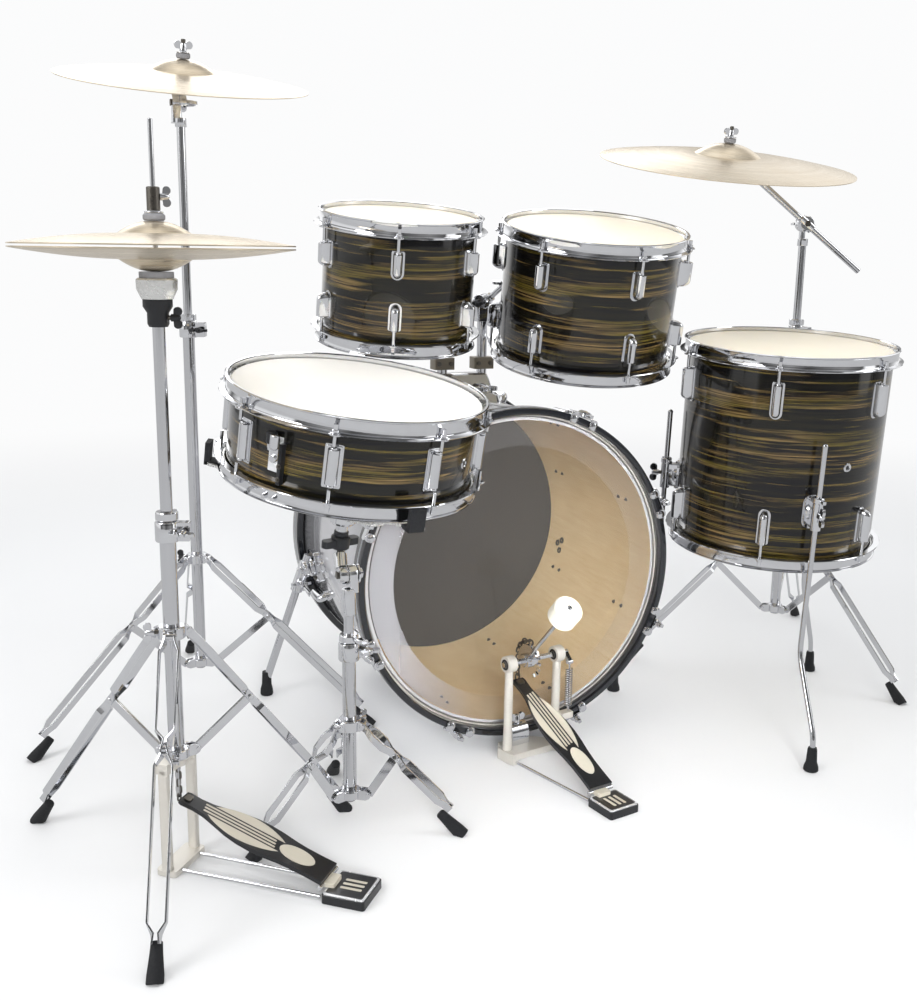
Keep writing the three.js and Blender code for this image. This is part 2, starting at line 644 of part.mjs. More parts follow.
function crashStand() {
  const { centre, upper, tubeTop, pivot } = CRASH_STAND;
  const { lowest, parts } = stemTo(CRASH, 30);
  const joint = [centre[0], centre[1] + 14, pivot];
  const tube = ring(upper - 2, upper, tubeTop - 140, pivot - 28, ROUND.tube).translate(...centre, 0);
  const neck = strip([centre[0] - 6, centre[1], pivot - 32], [joint[0] - 6, joint[1], joint[2]], 9, 12);
  const tubePiece = piece('crash_tube', join(tube, neck, hingeDisc(joint, -1)), CHROME);
  const arm = bar([joint[0] + 6, joint[1], joint[2]], lowest.toArray(), 5, ROUND.rod);
  return [
    standGroup(CRASH_STAND, tripod(CRASH_STAND)), tubePiece,
    cymbalGroup('crash', CRASH, [...parts, arm, hingeDisc(joint, 1)]),
  ];
}

function rideStand() {
  const { centre, upper, tubeTop, pivot } = RIDE_STAND;
  const { lowest, parts } = stemTo(RIDE, 12);
  const joint = [...centre, pivot];
  const tube = ring(upper - 2, upper, tubeTop - 120, pivot - 30, ROUND.tube).translate(...centre, 0);
  const hinge = boomHinge(joint);
  const neck = bar(hinge.at(-6.3, -36), hinge.at(-6.3, 0), 5.5, 6);
  const tubePiece = piece('ride_tube', join(tube, neck, hinge.half(-1)), CHROME);
  const [low, end] = [-BOOM.below, BOOM.above].map((reach) => hinge.along(reach));
  const [x, y, z] = [end.x, end.y + BOOM.knuckle, end.z];
  const boomPiece = piece('ride_boom', join(
    bar(low.toArray(), end.toArray(), 6.5, ROUND.rod), hinge.half(1, 20),
    bar([x, y - 12, z], [x, y - GAP, z], 12, ROUND.tube)), CHROME);
  const arm = [
    bar([x, y + GAP, z], [x, y + 12, z], 12, ROUND.tube),
    bar([x, y + 6, z], lowest.toArray(), 5, ROUND.rod),
  ];
  return [
    standGroup(RIDE_STAND, tripod(RIDE_STAND)), tubePiece, boomPiece,
    cymbalGroup('ride', RIDE, [...parts, ...arm]),
  ];
}

// The boom turns about a level line square to it, beside the top of the tube.
function boomHinge(joint) {
  const direction = vec(BOOM.direction).normalize();
  const line = new THREE.Vector3().crossVectors(UP, direction).normalize();
  const at = (out, rise) => vec(joint).addScaledVector(line, out).addScaledVector(UP, rise).toArray();
  const half = (side, thick = 12) => bar(at(side * GAP, 0), at(side * (GAP + thick), 0), 15, ROUND.tube);
  const along = (reach) => vec(at(BOOM.offset, 0)).addScaledVector(direction, reach);
  return { at, half, along };
}

// ---------------------------------------------------------------- pedals

const HIHAT_PEDAL = {
  name: 'hihat', yaw: 50, centre: 3, hinge: 232, hingeHeight: 22, toe: 4, toeHeight: 98,
  heelEnd: 296, heelWidth: 66,
};
const BASS_PEDAL = {
  name: 'pedal', origin: [2, -37], yaw: 11, centre: 0, hinge: 203, hingeHeight: 22, toe: -34, toeHeight: 126,
  heelEnd: 262, heelWidth: 58, axle: 177, posts: [-42, 60.5], post: 7, cam: 30, camWidth: 11,
  lean: 42, beaterReach: 169, felt: [25, 34], beaterX: -6, crank: 20, crankX: 78, anchor: 72,
};

// Footboard and heel plate: local -Y points to the player, `toe` and `hinge` are distances along it.
function pedalBoards(pedal) {
  const run = pedal.hinge - pedal.toe - 3;
  const rise = pedal.toeHeight - pedal.hingeHeight;
  const length = Math.hypot(run, rise);
  const widths = [[0, 0.38], [0.08, 0.4], [0.25, 0.66], [0.42, 0.95], [0.55, 1], [0.75, 0.88], [1, 0.84]];
  const half = pedal.heelWidth / 2;
  const right = widths.map(([t, w]) => [half * w, -t * length]);
  const left = widths.map(([t, w]) => [-half * w, -t * length]).reverse();
  const board = plate([...left, ...right], 7);
  board.translate(0, length, 0).rotateX(Math.asin(rise / length));
  board.translate(pedal.centre, -pedal.hinge + 3, pedal.hingeHeight);
  const heel = block([pedal.centre - half, -pedal.heelEnd, 0], [pedal.centre + half, -pedal.hinge - 1, 16]);
  return [
    piece(`${pedal.name}_footboard`, sealed(board), BLACK),
    piece(`${pedal.name}_heel_plate`, heel, BLACK),
  ];
}

// Positions in the pedal's own frame: Y 0 is the axle, +Y is toward the drum.
function bassPedal() {
  const p = BASS_PEDAL;
  const [left, right] = p.posts;
  const bearing = (x) => cut(bar([x - 8, 0, p.axle], [x + 8, 0, p.axle], 13, ROUND.tube),
    bar([x - 9, 0, p.axle], [x + 9, 0, p.axle], 5.4, ROUND.tube));
  const post = (x) => bar([x, 0, 16], [x, 0, p.axle - 10], p.post, ROUND.rod);
  const clamp = [block([-16, 21, 10], [16, 31, 48]), block([-16, 21, 39], [16, 47, 48])];
  const base = block([left - 9, -16, 0], [right + 9, 14, 20]);
  const tongue = block([-34, 10, 0], [34, 48, 19]);
  const anchor = block([right, -22, p.anchor - 12], [p.crankX + 6, -6, p.anchor - GAP]);
  const anchorPost = block([right - 6, -20, 16], [right + 7, -2, p.anchor - 2]);
  const heelSide = (x) => p.centre + Math.sign(x) * 22;
  const rods = [left, right].map((x) => bar([x, -10, 6], [heelSide(x), -p.hinge + 3, 6], 2.5, 6));
  const frame = join(bearing(left), bearing(right), post(left), post(right), clamp, base, tongue,
    anchor, anchorPost, rods);
  const chainTop = p.axle;
  const chainFoot = p.toeHeight + 7;
  const chainY = p.cam + 3;
  const chain = block([-5, chainY - 2.5, chainFoot], [5, chainY + 2.5, chainTop]);
  const pinY = -p.crank * Math.SQRT1_2;
  const pinZ = p.axle - p.crank * Math.SQRT1_2;
  const spring = bar([p.crankX, pinY, p.anchor], [p.crankX, pinY, pinZ - 4 - GAP], 6.5, ROUND.rod);
  return grouped([...p.origin, 0], yawed(p.yaw),
    piece('pedal_frame', frame, CAST),
    piece('pedal_axle', axleShape(), CHROME),
    piece('pedal_chain', chain, STEEL),
    piece('pedal_spring', spring, CHROME),
    pedalBoards(p));
}

// Axle, chain wheel, beater with its shaft, and the crank that the return spring pulls.
function axleShape() {
  const p = BASS_PEDAL;
  const [left] = p.posts;
  const lean = p.lean * DEGREE;
  const out = (reach) => [p.beaterX, -reach * Math.sin(lean), p.axle + reach * Math.cos(lean)];
  const pinY = -p.crank * Math.SQRT1_2;
  const pinZ = p.axle - p.crank * Math.SQRT1_2;
  return join(
    bar([left - 13, 0, p.axle], [p.crankX + 5, 0, p.axle], 4.6, 6),
    bar([-p.camWidth / 2, 0, p.axle], [p.camWidth / 2, 0, p.axle], p.cam, ROUND.tube * 2),
    bar(out(0), out(p.beaterReach - 4), 4.5, ROUND.rod),
    bar(out(p.beaterReach - p.felt[1]), out(p.beaterReach), p.felt[0], ROUND.drum),
    strip([p.crankX, 0, p.axle], [p.crankX, pinY, pinZ], 8, 8),
    bar([p.crankX - 5, pinY, pinZ], [p.crankX + 5, pinY, pinZ], 4, ROUND.rod),
  );
}

// ---------------------------------------------------------------- the kit

function bassDrum() {
  const hoop = laidDown(bassHoop());
  const head = laidDown(bassHead());
  const shell = laidDown(bassShell()).translate(0, 0, BASS.height);
  const up = (geometry) => geometry.translate(0, 0, BASS.height);
  return [
    piece('bass_shell', join(shell, spurSeat(1), spurSeat(-1)), GREY_WRAP),
    piece('bass_batter_hoop', up(hoop.clone()), BLACK),
    piece('bass_front_hoop', up(frontHalf(hoop)), BLACK),
    piece('bass_batter_head', sealed(up(head.clone())), CLEAR_FILM),
    piece('bass_front_head', sealed(up(frontHalf(head))), DARK_FILM),
    piece('bass_spur_left', spur(1), CHROME),
    piece('bass_spur_right', spur(-1), CHROME),
  ];
}

function wholeKit() {
  const toms = TOMS.map(rackTom);
  const arms = TOMS.map((tom) => piece(`${tom.name}_arm`, tomArm(tom), CHROME));
  const kit = new THREE.Group();
  kit.add(...bassDrum(), piece('tom_mount', tomMount(), CHROME), ...toms, ...arms);
  kit.add(...floorTom().flat(), snareDrum(), snareStand(), hihat());
  kit.add(...crashStand().flat(), ...rideStand().flat(), bassPedal());
  kit.updateMatrixWorld(true);
  return kit;
}

// Stand the middle of the kit's footprint on the origin.
function centred(kit) {
  const box = new THREE.Box3().setFromObject(kit, true);
  const middle = box.getCenter(new THREE.Vector3());
  kit.position.set(-middle.x, -middle.y, -box.min.z);
  const whole = new THREE.Group();
  whole.add(kit);
  whole.updateMatrixWorld(true);
  return whole;
}

export default centred(wholeKit());
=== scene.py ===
"""Acoustic drum kit: the looks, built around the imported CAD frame. Lengths are in millimetres and
are written from the floor point under the bass drum's batter hoop, as in the CAD source."""
import math

import bpy
from mathutils import Matrix, Vector


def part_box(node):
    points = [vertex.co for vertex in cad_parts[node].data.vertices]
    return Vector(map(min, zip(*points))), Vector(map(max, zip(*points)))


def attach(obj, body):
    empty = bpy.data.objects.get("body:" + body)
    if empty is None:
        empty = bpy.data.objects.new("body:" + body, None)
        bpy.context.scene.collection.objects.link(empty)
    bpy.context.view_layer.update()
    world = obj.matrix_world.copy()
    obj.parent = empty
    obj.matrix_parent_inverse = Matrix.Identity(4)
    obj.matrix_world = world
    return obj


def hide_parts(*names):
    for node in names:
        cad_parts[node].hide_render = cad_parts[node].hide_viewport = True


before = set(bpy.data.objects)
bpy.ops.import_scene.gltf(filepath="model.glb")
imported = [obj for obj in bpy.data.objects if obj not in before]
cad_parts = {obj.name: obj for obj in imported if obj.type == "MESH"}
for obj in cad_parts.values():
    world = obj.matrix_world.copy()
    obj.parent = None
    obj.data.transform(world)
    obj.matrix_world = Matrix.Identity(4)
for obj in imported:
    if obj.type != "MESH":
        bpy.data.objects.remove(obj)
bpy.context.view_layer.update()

CLAW_THICK = 4.0                 # the claws stand this far in front of the batter hoop
HOOP_LOW, HOOP_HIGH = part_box("bass_batter_hoop")
ORIGIN = Vector(((HOOP_LOW.x + HOOP_HIGH.x) / 2, HOOP_LOW.y + CLAW_THICK / 1000, 0))
KIT = Matrix.Translation(ORIGIN) @ Matrix.Scale(0.001, 4)
UP = Vector((0, 0, 1))
TAU = math.tau


# ------------------------------------------------------------------ camera, light and floor

CAMERA = dict(place=(-813, -1713, 866.3), yaw=22.06, pitch=12.398, roll=0.791, lens=40.93)


def add_camera():
    data = bpy.data.cameras.new("camera")
    data.lens = CAMERA["lens"]
    data.sensor_width = 36
    data.clip_end = 60
    camera = bpy.data.objects.new("camera", data)
    bpy.context.scene.collection.objects.link(camera)
    yaw, pitch, roll = (math.radians(CAMERA[k]) for k in ("yaw", "pitch", "roll"))
    turn = (Matrix.Rotation(-yaw, 4, "Z") @ Matrix.Rotation(math.pi / 2 - pitch, 4, "X")
            @ Matrix.Rotation(roll, 4, "Z"))
    camera.matrix_world = Matrix.Translation(KIT @ Vector(CAMERA["place"])) @ turn
    bpy.context.scene.camera = camera


def softbox(name, place, target, size, power, mirrored=True, spread=math.pi):
    data = bpy.data.lights.new(name, "AREA")
    data.spread = spread
    data.shape = "RECTANGLE"
    data.size, data.size_y = size
    data.energy = power
    light = bpy.data.objects.new(name, data)
    bpy.context.scene.collection.objects.link(light)
    light.location = place
    light.rotation_mode = "QUATERNION"
    light.rotation_quaternion = (Vector(target) - Vector(place)).to_track_quat("-Z", "Y")
    light.visible_glossy = mirrored


def node_tree(owner):
    owner.use_nodes = True
    owner.node_tree.nodes.clear()
    return owner.node_tree


def node(tree, kind, inputs=None, **settings):
    made = tree.nodes.new(kind)
    for key, value in settings.items():
        setattr(made, key, value)
    for key, value in (inputs or {}).items():
        if isinstance(value, bpy.types.NodeSocket):
            tree.links.new(value, made.inputs[key])
        else:
            made.inputs[key].default_value = value
    return made


def ramp(tree, factor, stops, kind="LINEAR"):
    made = node(tree, "ShaderNodeValToRGB", {"Fac": factor})
    band = made.color_ramp
    band.interpolation = kind
    while len(band.elements) < len(stops):
        band.elements.new(0.5)
    for element, (position, colour) in zip(band.elements, stops):
        element.position = position
        element.color = (*colour, 1) if len(colour) == 3 else colour
    return made.outputs["Color"]


def grey(value):
    return (value, value, value)


BACKDROP = (0.97, 0.972, 0.975, 1)


def add_world():
    """Pale to the eye and soft to the diffuse light; gloss sees a studio of bright walls and dark flats."""
    world = bpy.data.worlds.new("studio")
    bpy.context.scene.world = world
    tree = node_tree(world)
    way = node(tree, "ShaderNodeTexCoord").outputs["Generated"]
    apart = node(tree, "ShaderNodeSeparateXYZ", {0: way})
    rise = node(tree, "ShaderNodeMath", {0: apart.outputs["Z"], 1: 1.0}, operation="ADD")
    half = node(tree, "ShaderNodeMath", {0: rise.outputs[0], 1: 0.5}, operation="MULTIPLY")
    height = ramp(tree, half.outputs[0], [
        (0.0, grey(0.4)), (0.46, grey(0.5)), (0.5, grey(0.8)), (0.57, grey(0.9)), (0.6, grey(0.12)),
        (0.64, grey(0.9)), (0.78, grey(1.1)), (0.84, grey(0.25)), (1.0, grey(1.2))])
    angle = node(tree, "ShaderNodeMath", {0: apart.outputs["Y"], 1: apart.outputs["X"]},
                 operation="ARCTAN2")
    turn = node(tree, "ShaderNodeMath", {0: angle.outputs[0], 1: 1 / TAU, 2: 0.5},
                operation="MULTIPLY_ADD")
    sides = ramp(tree, turn.outputs[0], [
        (0.0, grey(0.8)), (0.055, grey(0.85)), (0.065, grey(0.08)), (0.15, grey(0.3)), (0.2, grey(0.08)),
        (0.31, grey(0.25)), (0.375, grey(0.1)), (0.385, grey(1.2)), (0.42, grey(1.2)), (0.43, grey(0.1)),
        (0.5, grey(0.3)), (0.56, grey(1.0)), (0.64, grey(0.9)), (0.66, grey(0.08)), (0.7, grey(1.0)),
        (0.8, grey(1.0)), (0.83, grey(0.12)), (0.87, grey(0.75)), (1.0, grey(0.8))])
    both = node(tree, "ShaderNodeMix", {"Factor": 1.0, 6: height, 7: sides}, data_type="RGBA",
                blend_type="MULTIPLY")
    seen = node(tree, "ShaderNodeBackground", {"Color": BACKDROP, "Strength": 1.0})
    soft = node(tree, "ShaderNodeBackground", {"Color": (0.97, 0.98, 1.0, 1), "Strength": 0.6})
    shiny = node(tree, "ShaderNodeBackground", {"Color": both.outputs[2], "Strength": 1.3})
    path = node(tree, "ShaderNodeLightPath")
    gloss = node(tree, "ShaderNodeMixShader", {0: path.outputs["Is Glossy Ray"],
                                               1: soft.outputs[0], 2: shiny.outputs[0]})
    pick = node(tree, "ShaderNodeMixShader", {0: path.outputs["Is Camera Ray"],
                                              1: gloss.outputs[0], 2: seen.outputs[0]})
    node(tree, "ShaderNodeOutputWorld", {"Surface": pick.outputs[0]})


# ------------------------------------------------------------------ finishes

def linear(code):
    parts = [((code >> shift) & 255) / 255 for shift in (16, 8, 0)]
    return tuple(p / 12.92 if p <= 0.04045 else ((p + 0.055) / 1.055) ** 2.4 for p in parts)


def surface(name):
    """A new material with its shader, and the piece's own coordinates in millimetres."""
    made = bpy.data.materials.new(name)
    tree = node_tree(made)
    shader = node(tree, "ShaderNodeBsdfPrincipled")
    node(tree, "ShaderNodeOutputMaterial", {"Surface": shader.outputs[0]})
    place = node(tree, "ShaderNodeAttribute", attribute_name="place").outputs["Vector"]
    return made, tree, shader, place


def noise(tree, place, scale, detail=3.0, rough=0.55, stretch=(1, 1, 1)):
    mapped = node(tree, "ShaderNodeMapping", {"Vector": place, "Scale": stretch})
    made = node(tree, "ShaderNodeTexNoise", {
        "Vector": mapped.outputs[0], "Scale": scale, "Detail": detail, "Roughness": rough})
    return made.outputs["Fac"]


def spread(tree, factor, low, high):
    made = node(tree, "ShaderNodeMapRange", {"Value": factor, 1: 0.25, 2: 0.75, 3: low, 4: high})
    return made.outputs[0]


def dent(tree, shader, factor, strength, distance=0.001):
    made = node(tree, "ShaderNodeBump", {"Height": factor, "Strength": strength, "Distance": distance})
    tree.links.new(made.outputs[0], shader.inputs["Normal"])


def mixed(tree, factor, a, b):
    made = node(tree, "ShaderNodeMix", {"Factor": factor, 6: a, 7: b}, data_type="RGBA")
    return made.outputs[2]


def rgba(code):
    return (*linear(code), 1)


def metal(name, code, low, high, tone=0.06, bump=0.02, scale=0.05, stretch=(1, 1, 1), metallic=1.0):
    """Metal with faint smears and hairlines in its gloss."""
    made, tree, shader, place = surface(name)
    smear = noise(tree, place, scale, 4, 0.6, stretch)
    shade = [tuple(c * (1 + side * tone) for c in linear(code)) + (1,) for side in (-1, 0.6)]
    tree.links.new(mixed(tree, smear, *shade), shader.inputs["Base Color"])
    shader.inputs["Metallic"].default_value = metallic
    tree.links.new(spread(tree, smear, low, high), shader.inputs["Roughness"])
    dent(tree, shader, noise(tree, place, scale * 14, 2, 0.5, stretch), bump)
    return made


def paint(name, code, low, high, tone=0.15, bump=0.05, scale=0.2, coat=0.0):
    """Paint, rubber, felt or plastic with an uneven tone and grain."""
    made, tree, shader, place = surface(name)
    patch = noise(tree, place, scale, 4, 0.6)
    shade = [tuple(min(1, c * (1 + side * tone)) for c in linear(code)) + (1,) for side in (-1, 1)]
    tree.links.new(mixed(tree, patch, *shade), shader.inputs["Base Color"])
    tree.links.new(spread(tree, patch, low, high), shader.inputs["Roughness"])
    shader.inputs["Coat Weight"].default_value = coat
    shader.inputs["Coat Roughness"].default_value = 0.05
    dent(tree, shader, noise(tree, place, scale * 12, 3, 0.6), bump)
    return made


def streaked_wrap(name):
    """Near-black gloss wrap with long level streaks in olive and gold brown."""
    made, tree, shader, place = surface(name)
    bend = noise(tree, place, 0.008, 2, 0.5)
    lift = node(tree, "ShaderNodeCombineXYZ", {2: spread(tree, bend, -1.2, 1.2)})
    swayed = node(tree, "ShaderNodeVectorMath", {0: place, 1: lift.outputs[0]}, operation="ADD").outputs[0]
    bands = ramp(tree, noise(tree, swayed, 0.1, 3, 0.55, (0.04, 0.04, 1.0)),
                 [(0.49, grey(0)), (0.57, grey(1))])
    lines = ramp(tree, noise(tree, swayed, 0.34, 3, 0.65, (0.014, 0.014, 1.0)),
                 [(0.45, grey(0)), (0.6, grey(1))])
    hair = ramp(tree, noise(tree, swayed, 1.1, 2, 0.5, (0.012, 0.012, 1.0)),
                [(0.35, grey(0.45)), (0.6, grey(1))])
    wide = node(tree, "ShaderNodeMath", {0: lines, 1: 0.72, 2: 0.22}, operation="MULTIPLY_ADD")
    streak = node(tree, "ShaderNodeMath", {0: bands, 1: wide.outputs[0]}, operation="MULTIPLY")
    thread = node(tree, "ShaderNodeMath", {0: streak.outputs[0], 1: hair}, operation="MULTIPLY")
    tint = ramp(tree, noise(tree, swayed, 0.05, 2, 0.5, (0.15, 0.15, 1.0)),
                [(0.42, grey(0)), (0.62, grey(1))])
    gold = mixed(tree, tint, rgba(0x564b1d), rgba(0x75603a))
    base = mixed(tree, lines, rgba(0x050508), rgba(0x13120a))
    tree.links.new(mixed(tree, thread.outputs[0], base, gold), shader.inputs["Base Color"])
    shader.inputs["Roughness"].default_value = 0.2
    shader.inputs["Coat Weight"].default_value = 1.0
    shader.inputs["Coat Roughness"].default_value = 0.025
    shader.inputs["Coat IOR"].default_value = 1.38
    shader.inputs["Specular IOR Level"].default_value = 0.2
    dent(tree, shader, noise(tree, place, 0.02, 2, 0.5), 0.02, 0.002)
    return made


def plywood():
    made, tree, shader, place = surface("birch_ply")
    grain = noise(tree, place, 0.05, 5, 0.65, (0.25, 3.0, 0.25))
    cloud = noise(tree, place, 0.012, 3, 0.5)
    pale = mixed(tree, spread(tree, grain, 0, 1), rgba(0xe6cc9c), rgba(0xf3e0b8))
    tree.links.new(mixed(tree, spread(tree, cloud, 0, 0.5), pale, rgba(0xdcc08c)),
                   shader.inputs["Base Color"])
    shader.inputs["Roughness"].default_value = 0.55
    dent(tree, shader, grain, 0.06)
    return made


def film(name, code, rough, through, bump):
    """Drum head film: some light passes through it, and it shows faint brushing."""
    made, tree, shader, place = surface(name)
    cloud = noise(tree, place, 0.01, 3, 0.5)
    shade = [tuple(min(1, c * f) for c in linear(code)) + (1,) for f in (0.94, 1.03)]
    tree.links.new(mixed(tree, cloud, *shade), shader.inputs["Base Color"])
    shader.inputs["Roughness"].default_value = rough
    shader.inputs["Subsurface Weight"].default_value = through
    shader.inputs["Subsurface Radius"].default_value = (0.01, 0.008, 0.005)
    dent(tree, shader, noise(tree, place, 1.6, 4, 0.7), bump)
    return made


def clear_film(name, tint, haze, rough, painted_side_reflection=0.0):
    """Clear film: its gloss and a little haze show. If asked, a painted reflection makes the film less clear
    toward local −X, standing in for the bright room it mirrors on that side.
    """
    made, tree, shader, place = surface(name)
    shader.inputs["Base Color"].default_value = rgba(tint)
    shader.inputs["Metallic"].default_value = 0.5
    shader.inputs["Roughness"].default_value = rough
    cloud = spread(tree, noise(tree, place, 0.008, 3, 0.5), haze * 0.8, haze * 1.2)
    across = node(tree, "ShaderNodeSeparateXYZ", {0: place}).outputs["X"]
    # painted reflection: the film's share rises from local X −80 to −230 mm, in place of the lit room
    # mirrored on that side
    side = node(tree, "ShaderNodeMapRange", {"Value": across, 1: -80.0, 2: -230.0, 3: 0.0, 4: painted_side_reflection})
    edge = node(tree, "ShaderNodeFresnel", {"IOR": 1.5})
    shine = node(tree, "ShaderNodeMath", {0: cloud, 1: edge.outputs[0]}, operation="ADD")
    share = node(tree, "ShaderNodeMath", {0: shine.outputs[0], 1: side.outputs[0]}, operation="ADD")
    clear = node(tree, "ShaderNodeBsdfTransparent")
    blend = node(tree, "ShaderNodeMixShader", {0: share.outputs[0], 1: clear.outputs[0],
                                               2: shader.outputs[0]})
    out = next(n for n in tree.nodes if n.bl_idname == "ShaderNodeOutputMaterial")
    tree.links.new(blend.outputs[0], out.inputs["Surface"])
    return made


def cymbal_bronze():
    """Turned cymbal: fine concentric grooves in a pale alloy."""
    made, tree, shader, place = surface("cymbal_bronze")
    apart = node(tree, "ShaderNodeSeparateXYZ", {0: place})
    flat = node(tree, "ShaderNodeCombineXYZ", {0: apart.outputs["X"], 1: apart.outputs["Y"]})
    reach = node(tree, "ShaderNodeVectorMath", {0: flat.outputs[0]}, operation="LENGTH").outputs["Value"]
    line = node(tree, "ShaderNodeCombineXYZ", {0: reach})
    groove = node(tree, "ShaderNodeTexNoise", {"Vector": line.outputs[0], "Scale": 0.9, "Detail": 3.0})
    band = node(tree, "ShaderNodeTexNoise", {"Vector": line.outputs[0], "Scale": 0.06, "Detail": 2.0})
    cloud = noise(tree, place, 0.012, 3, 0.6)
    shade = mixed(tree, spread(tree, band.outputs["Fac"], 0, 1), rgba(0xd6c8b0), rgba(0xeee3cf))
    tree.links.new(mixed(tree, spread(tree, cloud, 0, 0.35), shade, rgba(0xcbb38e)),
                   shader.inputs["Base Color"])
    shader.inputs["Metallic"].default_value = 0.85
    tree.links.new(spread(tree, groove.outputs["Fac"], 0.2, 0.36), shader.inputs["Roughness"])
    dent(tree, shader, groove.outputs["Fac"], 0.25, 0.0006)
    return made


def finishes():
    return {
        "chrome": metal("chrome", 0xe6e7ea, 0.03, 0.1),
        "tube": metal("tube_chrome", 0xdcdde0, 0.06, 0.16, stretch=(3, 3, 0.15)),
        "cast": metal("cast_alloy", 0xd2cec6, 0.32, 0.46, 0.06, 0.08, 0.08, metallic=0.5),
        "bright": metal("bright_alloy", 0xe9eaec, 0.2, 0.3, 0.04, 0.03, 0.08, metallic=0.6),
        "satin": metal("satin_steel", 0x8e877a, 0.3, 0.42, 0.08, 0.05, 0.1),
        "steel": metal("dark_steel", 0x74706a, 0.25, 0.4, 0.15, 0.06, 0.2),
        "aluminium": metal("bright_aluminium", 0xdcdcda, 0.2, 0.32, 0.05, 0.05, 0.1, metallic=0.8),
        "bronze": cymbal_bronze(),
        "wrap": streaked_wrap("streaked_wrap"),
        "grey": paint("grey_wrap", 0xb4b4b8, 0.12, 0.2, 0.05, 0.01, 0.02, 1.0),
        "lacquer": paint("black_lacquer", 0x0d0f14, 0.1, 0.18, 0.2, 0.01, 0.02, 1.0),
        "inlay": paint("grey_inlay", 0x8d9096, 0.2, 0.3, 0.08, 0.02, 0.05),
        "ply": plywood(),
        "black": paint("black_plastic", 0x17181b, 0.35, 0.5, 0.2, 0.05, 0.3),
        "rubber": paint("rubber", 0x141518, 0.6, 0.8, 0.25, 0.15, 0.4),
        "enamel": paint("black_enamel", 0x141518, 0.3, 0.42, 0.15, 0.03, 0.2, 0.3),
        "cream": paint("cream_paint", 0xbfb9aa, 0.4, 0.5, 0.05, 0.03, 0.2),
        "felt": paint("white_felt", 0xece8da, 0.9, 1.0, 0.07, 0.6, 0.5),
        "grey_felt": paint("grey_felt", 0x8f8f92, 0.9, 1.0, 0.12, 0.6, 0.6),
        "white_head": film("coated_film", 0xf4f1ea, 0.6, 0.1, 0.1),
        "cream_head": film("translucent_film", 0xefe6d2, 0.42, 0.25, 0.05),
        "dark_head": paint("dark_film", 0x1d1d21, 0.4, 0.5, 0.06, 0.004, 0.01),
        "clear_head": clear_film("clear_film", 0xe6dfd2, 0.03, 0.05),
        # the ring film's last value, 0.6, is a painted reflection that makes it lighter toward −X
        "ring_film": clear_film("ring_film", 0xd4d4dc, 0.04, 0.2, 0.6),
    }


# ------------------------------------------------------------------ shapes: (corners, faces)

def shift(x=0, y=0, z=0):
    return Matrix.Translation((x, y, z))


def turned(degrees, axis="Z"):
    return Matrix.Rotation(math.radians(degrees), 4, axis)


def moved(shape, matrix):
    corners, faces = shape
    return [matrix @ Vector(c) for c in corners], faces


def joined(*shapes):
    corners, faces = [], []
    for more, sides in shapes:
        start = len(corners)
        corners.extend(more)
        faces.extend(tuple(start + i for i in side) for side in sides)
    return corners, faces


def lathe(profile, sides=64, closed=False):
    """A solid of revolution about Z; points on the axis close it."""
    corners, rows, faces = [], [], []
    for r, z in profile:
        if r < 1e-6:
            rows.append([len(corners)] * sides)
            corners.append((0, 0, z))
            continue
        rows.append(list(range(len(corners), len(corners) + sides)))
        corners.extend((r * math.cos(TAU * i / sides), r * math.sin(TAU * i / sides), z)
                       for i in range(sides))
    pairs = list(zip(rows, rows[1:])) + ([(rows[-1], rows[0])] if closed else [])
    for lower, upper in pairs:
        for i in range(sides):
            j = (i + 1) % sides
            side = [lower[i], lower[j], upper[j], upper[i]]
            faces.append(tuple(dict.fromkeys(side)))
    return corners, [f for f in faces if len(f) > 2]


def drum(radius, low, high, sides=32, edge=0.0):
    """A round disc or cylinder, its rims rounded by `edge`."""
    if not edge:
        return lathe([(0, low), (radius, low), (radius, high), (0, high)], sides)
    return lathe([(0, low), (radius - edge, low), (radius, low + edge), (radius, high - edge),
                  (radius - edge, high), (0, high)], sides)


def hollow(inner, outer, low, high, sides=64):
    return lathe([(inner, low), (outer, low), (outer, high), (inner, high)], sides, closed=True)


def ball(radius, sides=20):
    steps = sides // 2
    return lathe([(radius * math.sin(math.pi * i / steps), -radius * math.cos(math.pi * i / steps))
                  for i in range(steps + 1)], sides)


def along(start, end, twist=(0, 0, 1)):
    """The frame at `start` whose Z points to `end`; Y leans toward `twist`."""
    z = (Vector(end) - Vector(start)).normalized()
    x = Vector(twist).cross(z)
    if x.length < 1e-4:
        x = Vector((1, 0, 0)).cross(z) if abs(z.x) < 0.9 else Vector((0, 1, 0)).cross(z)
    x.normalize()
    y = z.cross(x)
    turn = Matrix((x, y, z)).transposed().to_4x4()
    return Matrix.Translation(start) @ turn


def circle(radius, sides=14):
    return [(radius * math.cos(TAU * i / sides), radius * math.sin(TAU * i / sides))
            for i in range(sides)]


def oblong(width, height):
    return [(-width / 2, -height / 2), (width / 2, -height / 2), (width / 2, height / 2),
            (-width / 2, height / 2)]


def swept(path, section, twist=(0, 0, 1), scale=None):
    """A section carried along a path, closed at both ends."""
    points = [Vector(p) for p in path]
    corners, faces, count = [], [], len(section)
    for i, point in enumerate(points):
        before, after = points[max(i - 1, 0)], points[min(i + 1, len(points) - 1)]
        place = along(point, point + (after - before), twist)
        size = scale[i] if scale else 1.0
        corners.extend(place @ Vector((u * size, v * size, 0)) for u, v in section)
    for i in range(len(points) - 1):
        a, b = i * count, (i + 1) * count
        for j in range(count):
            k = (j + 1) % count
            faces.append((a + j, a + k, b + k, b + j))
    faces.append(tuple(reversed(range(count))))
    faces.append(tuple(range((len(points) - 1) * count, len(points) * count)))
    return corners, faces


def rod(start, end, radius, sides=18):
    return swept([start, end], circle(radius, sides))


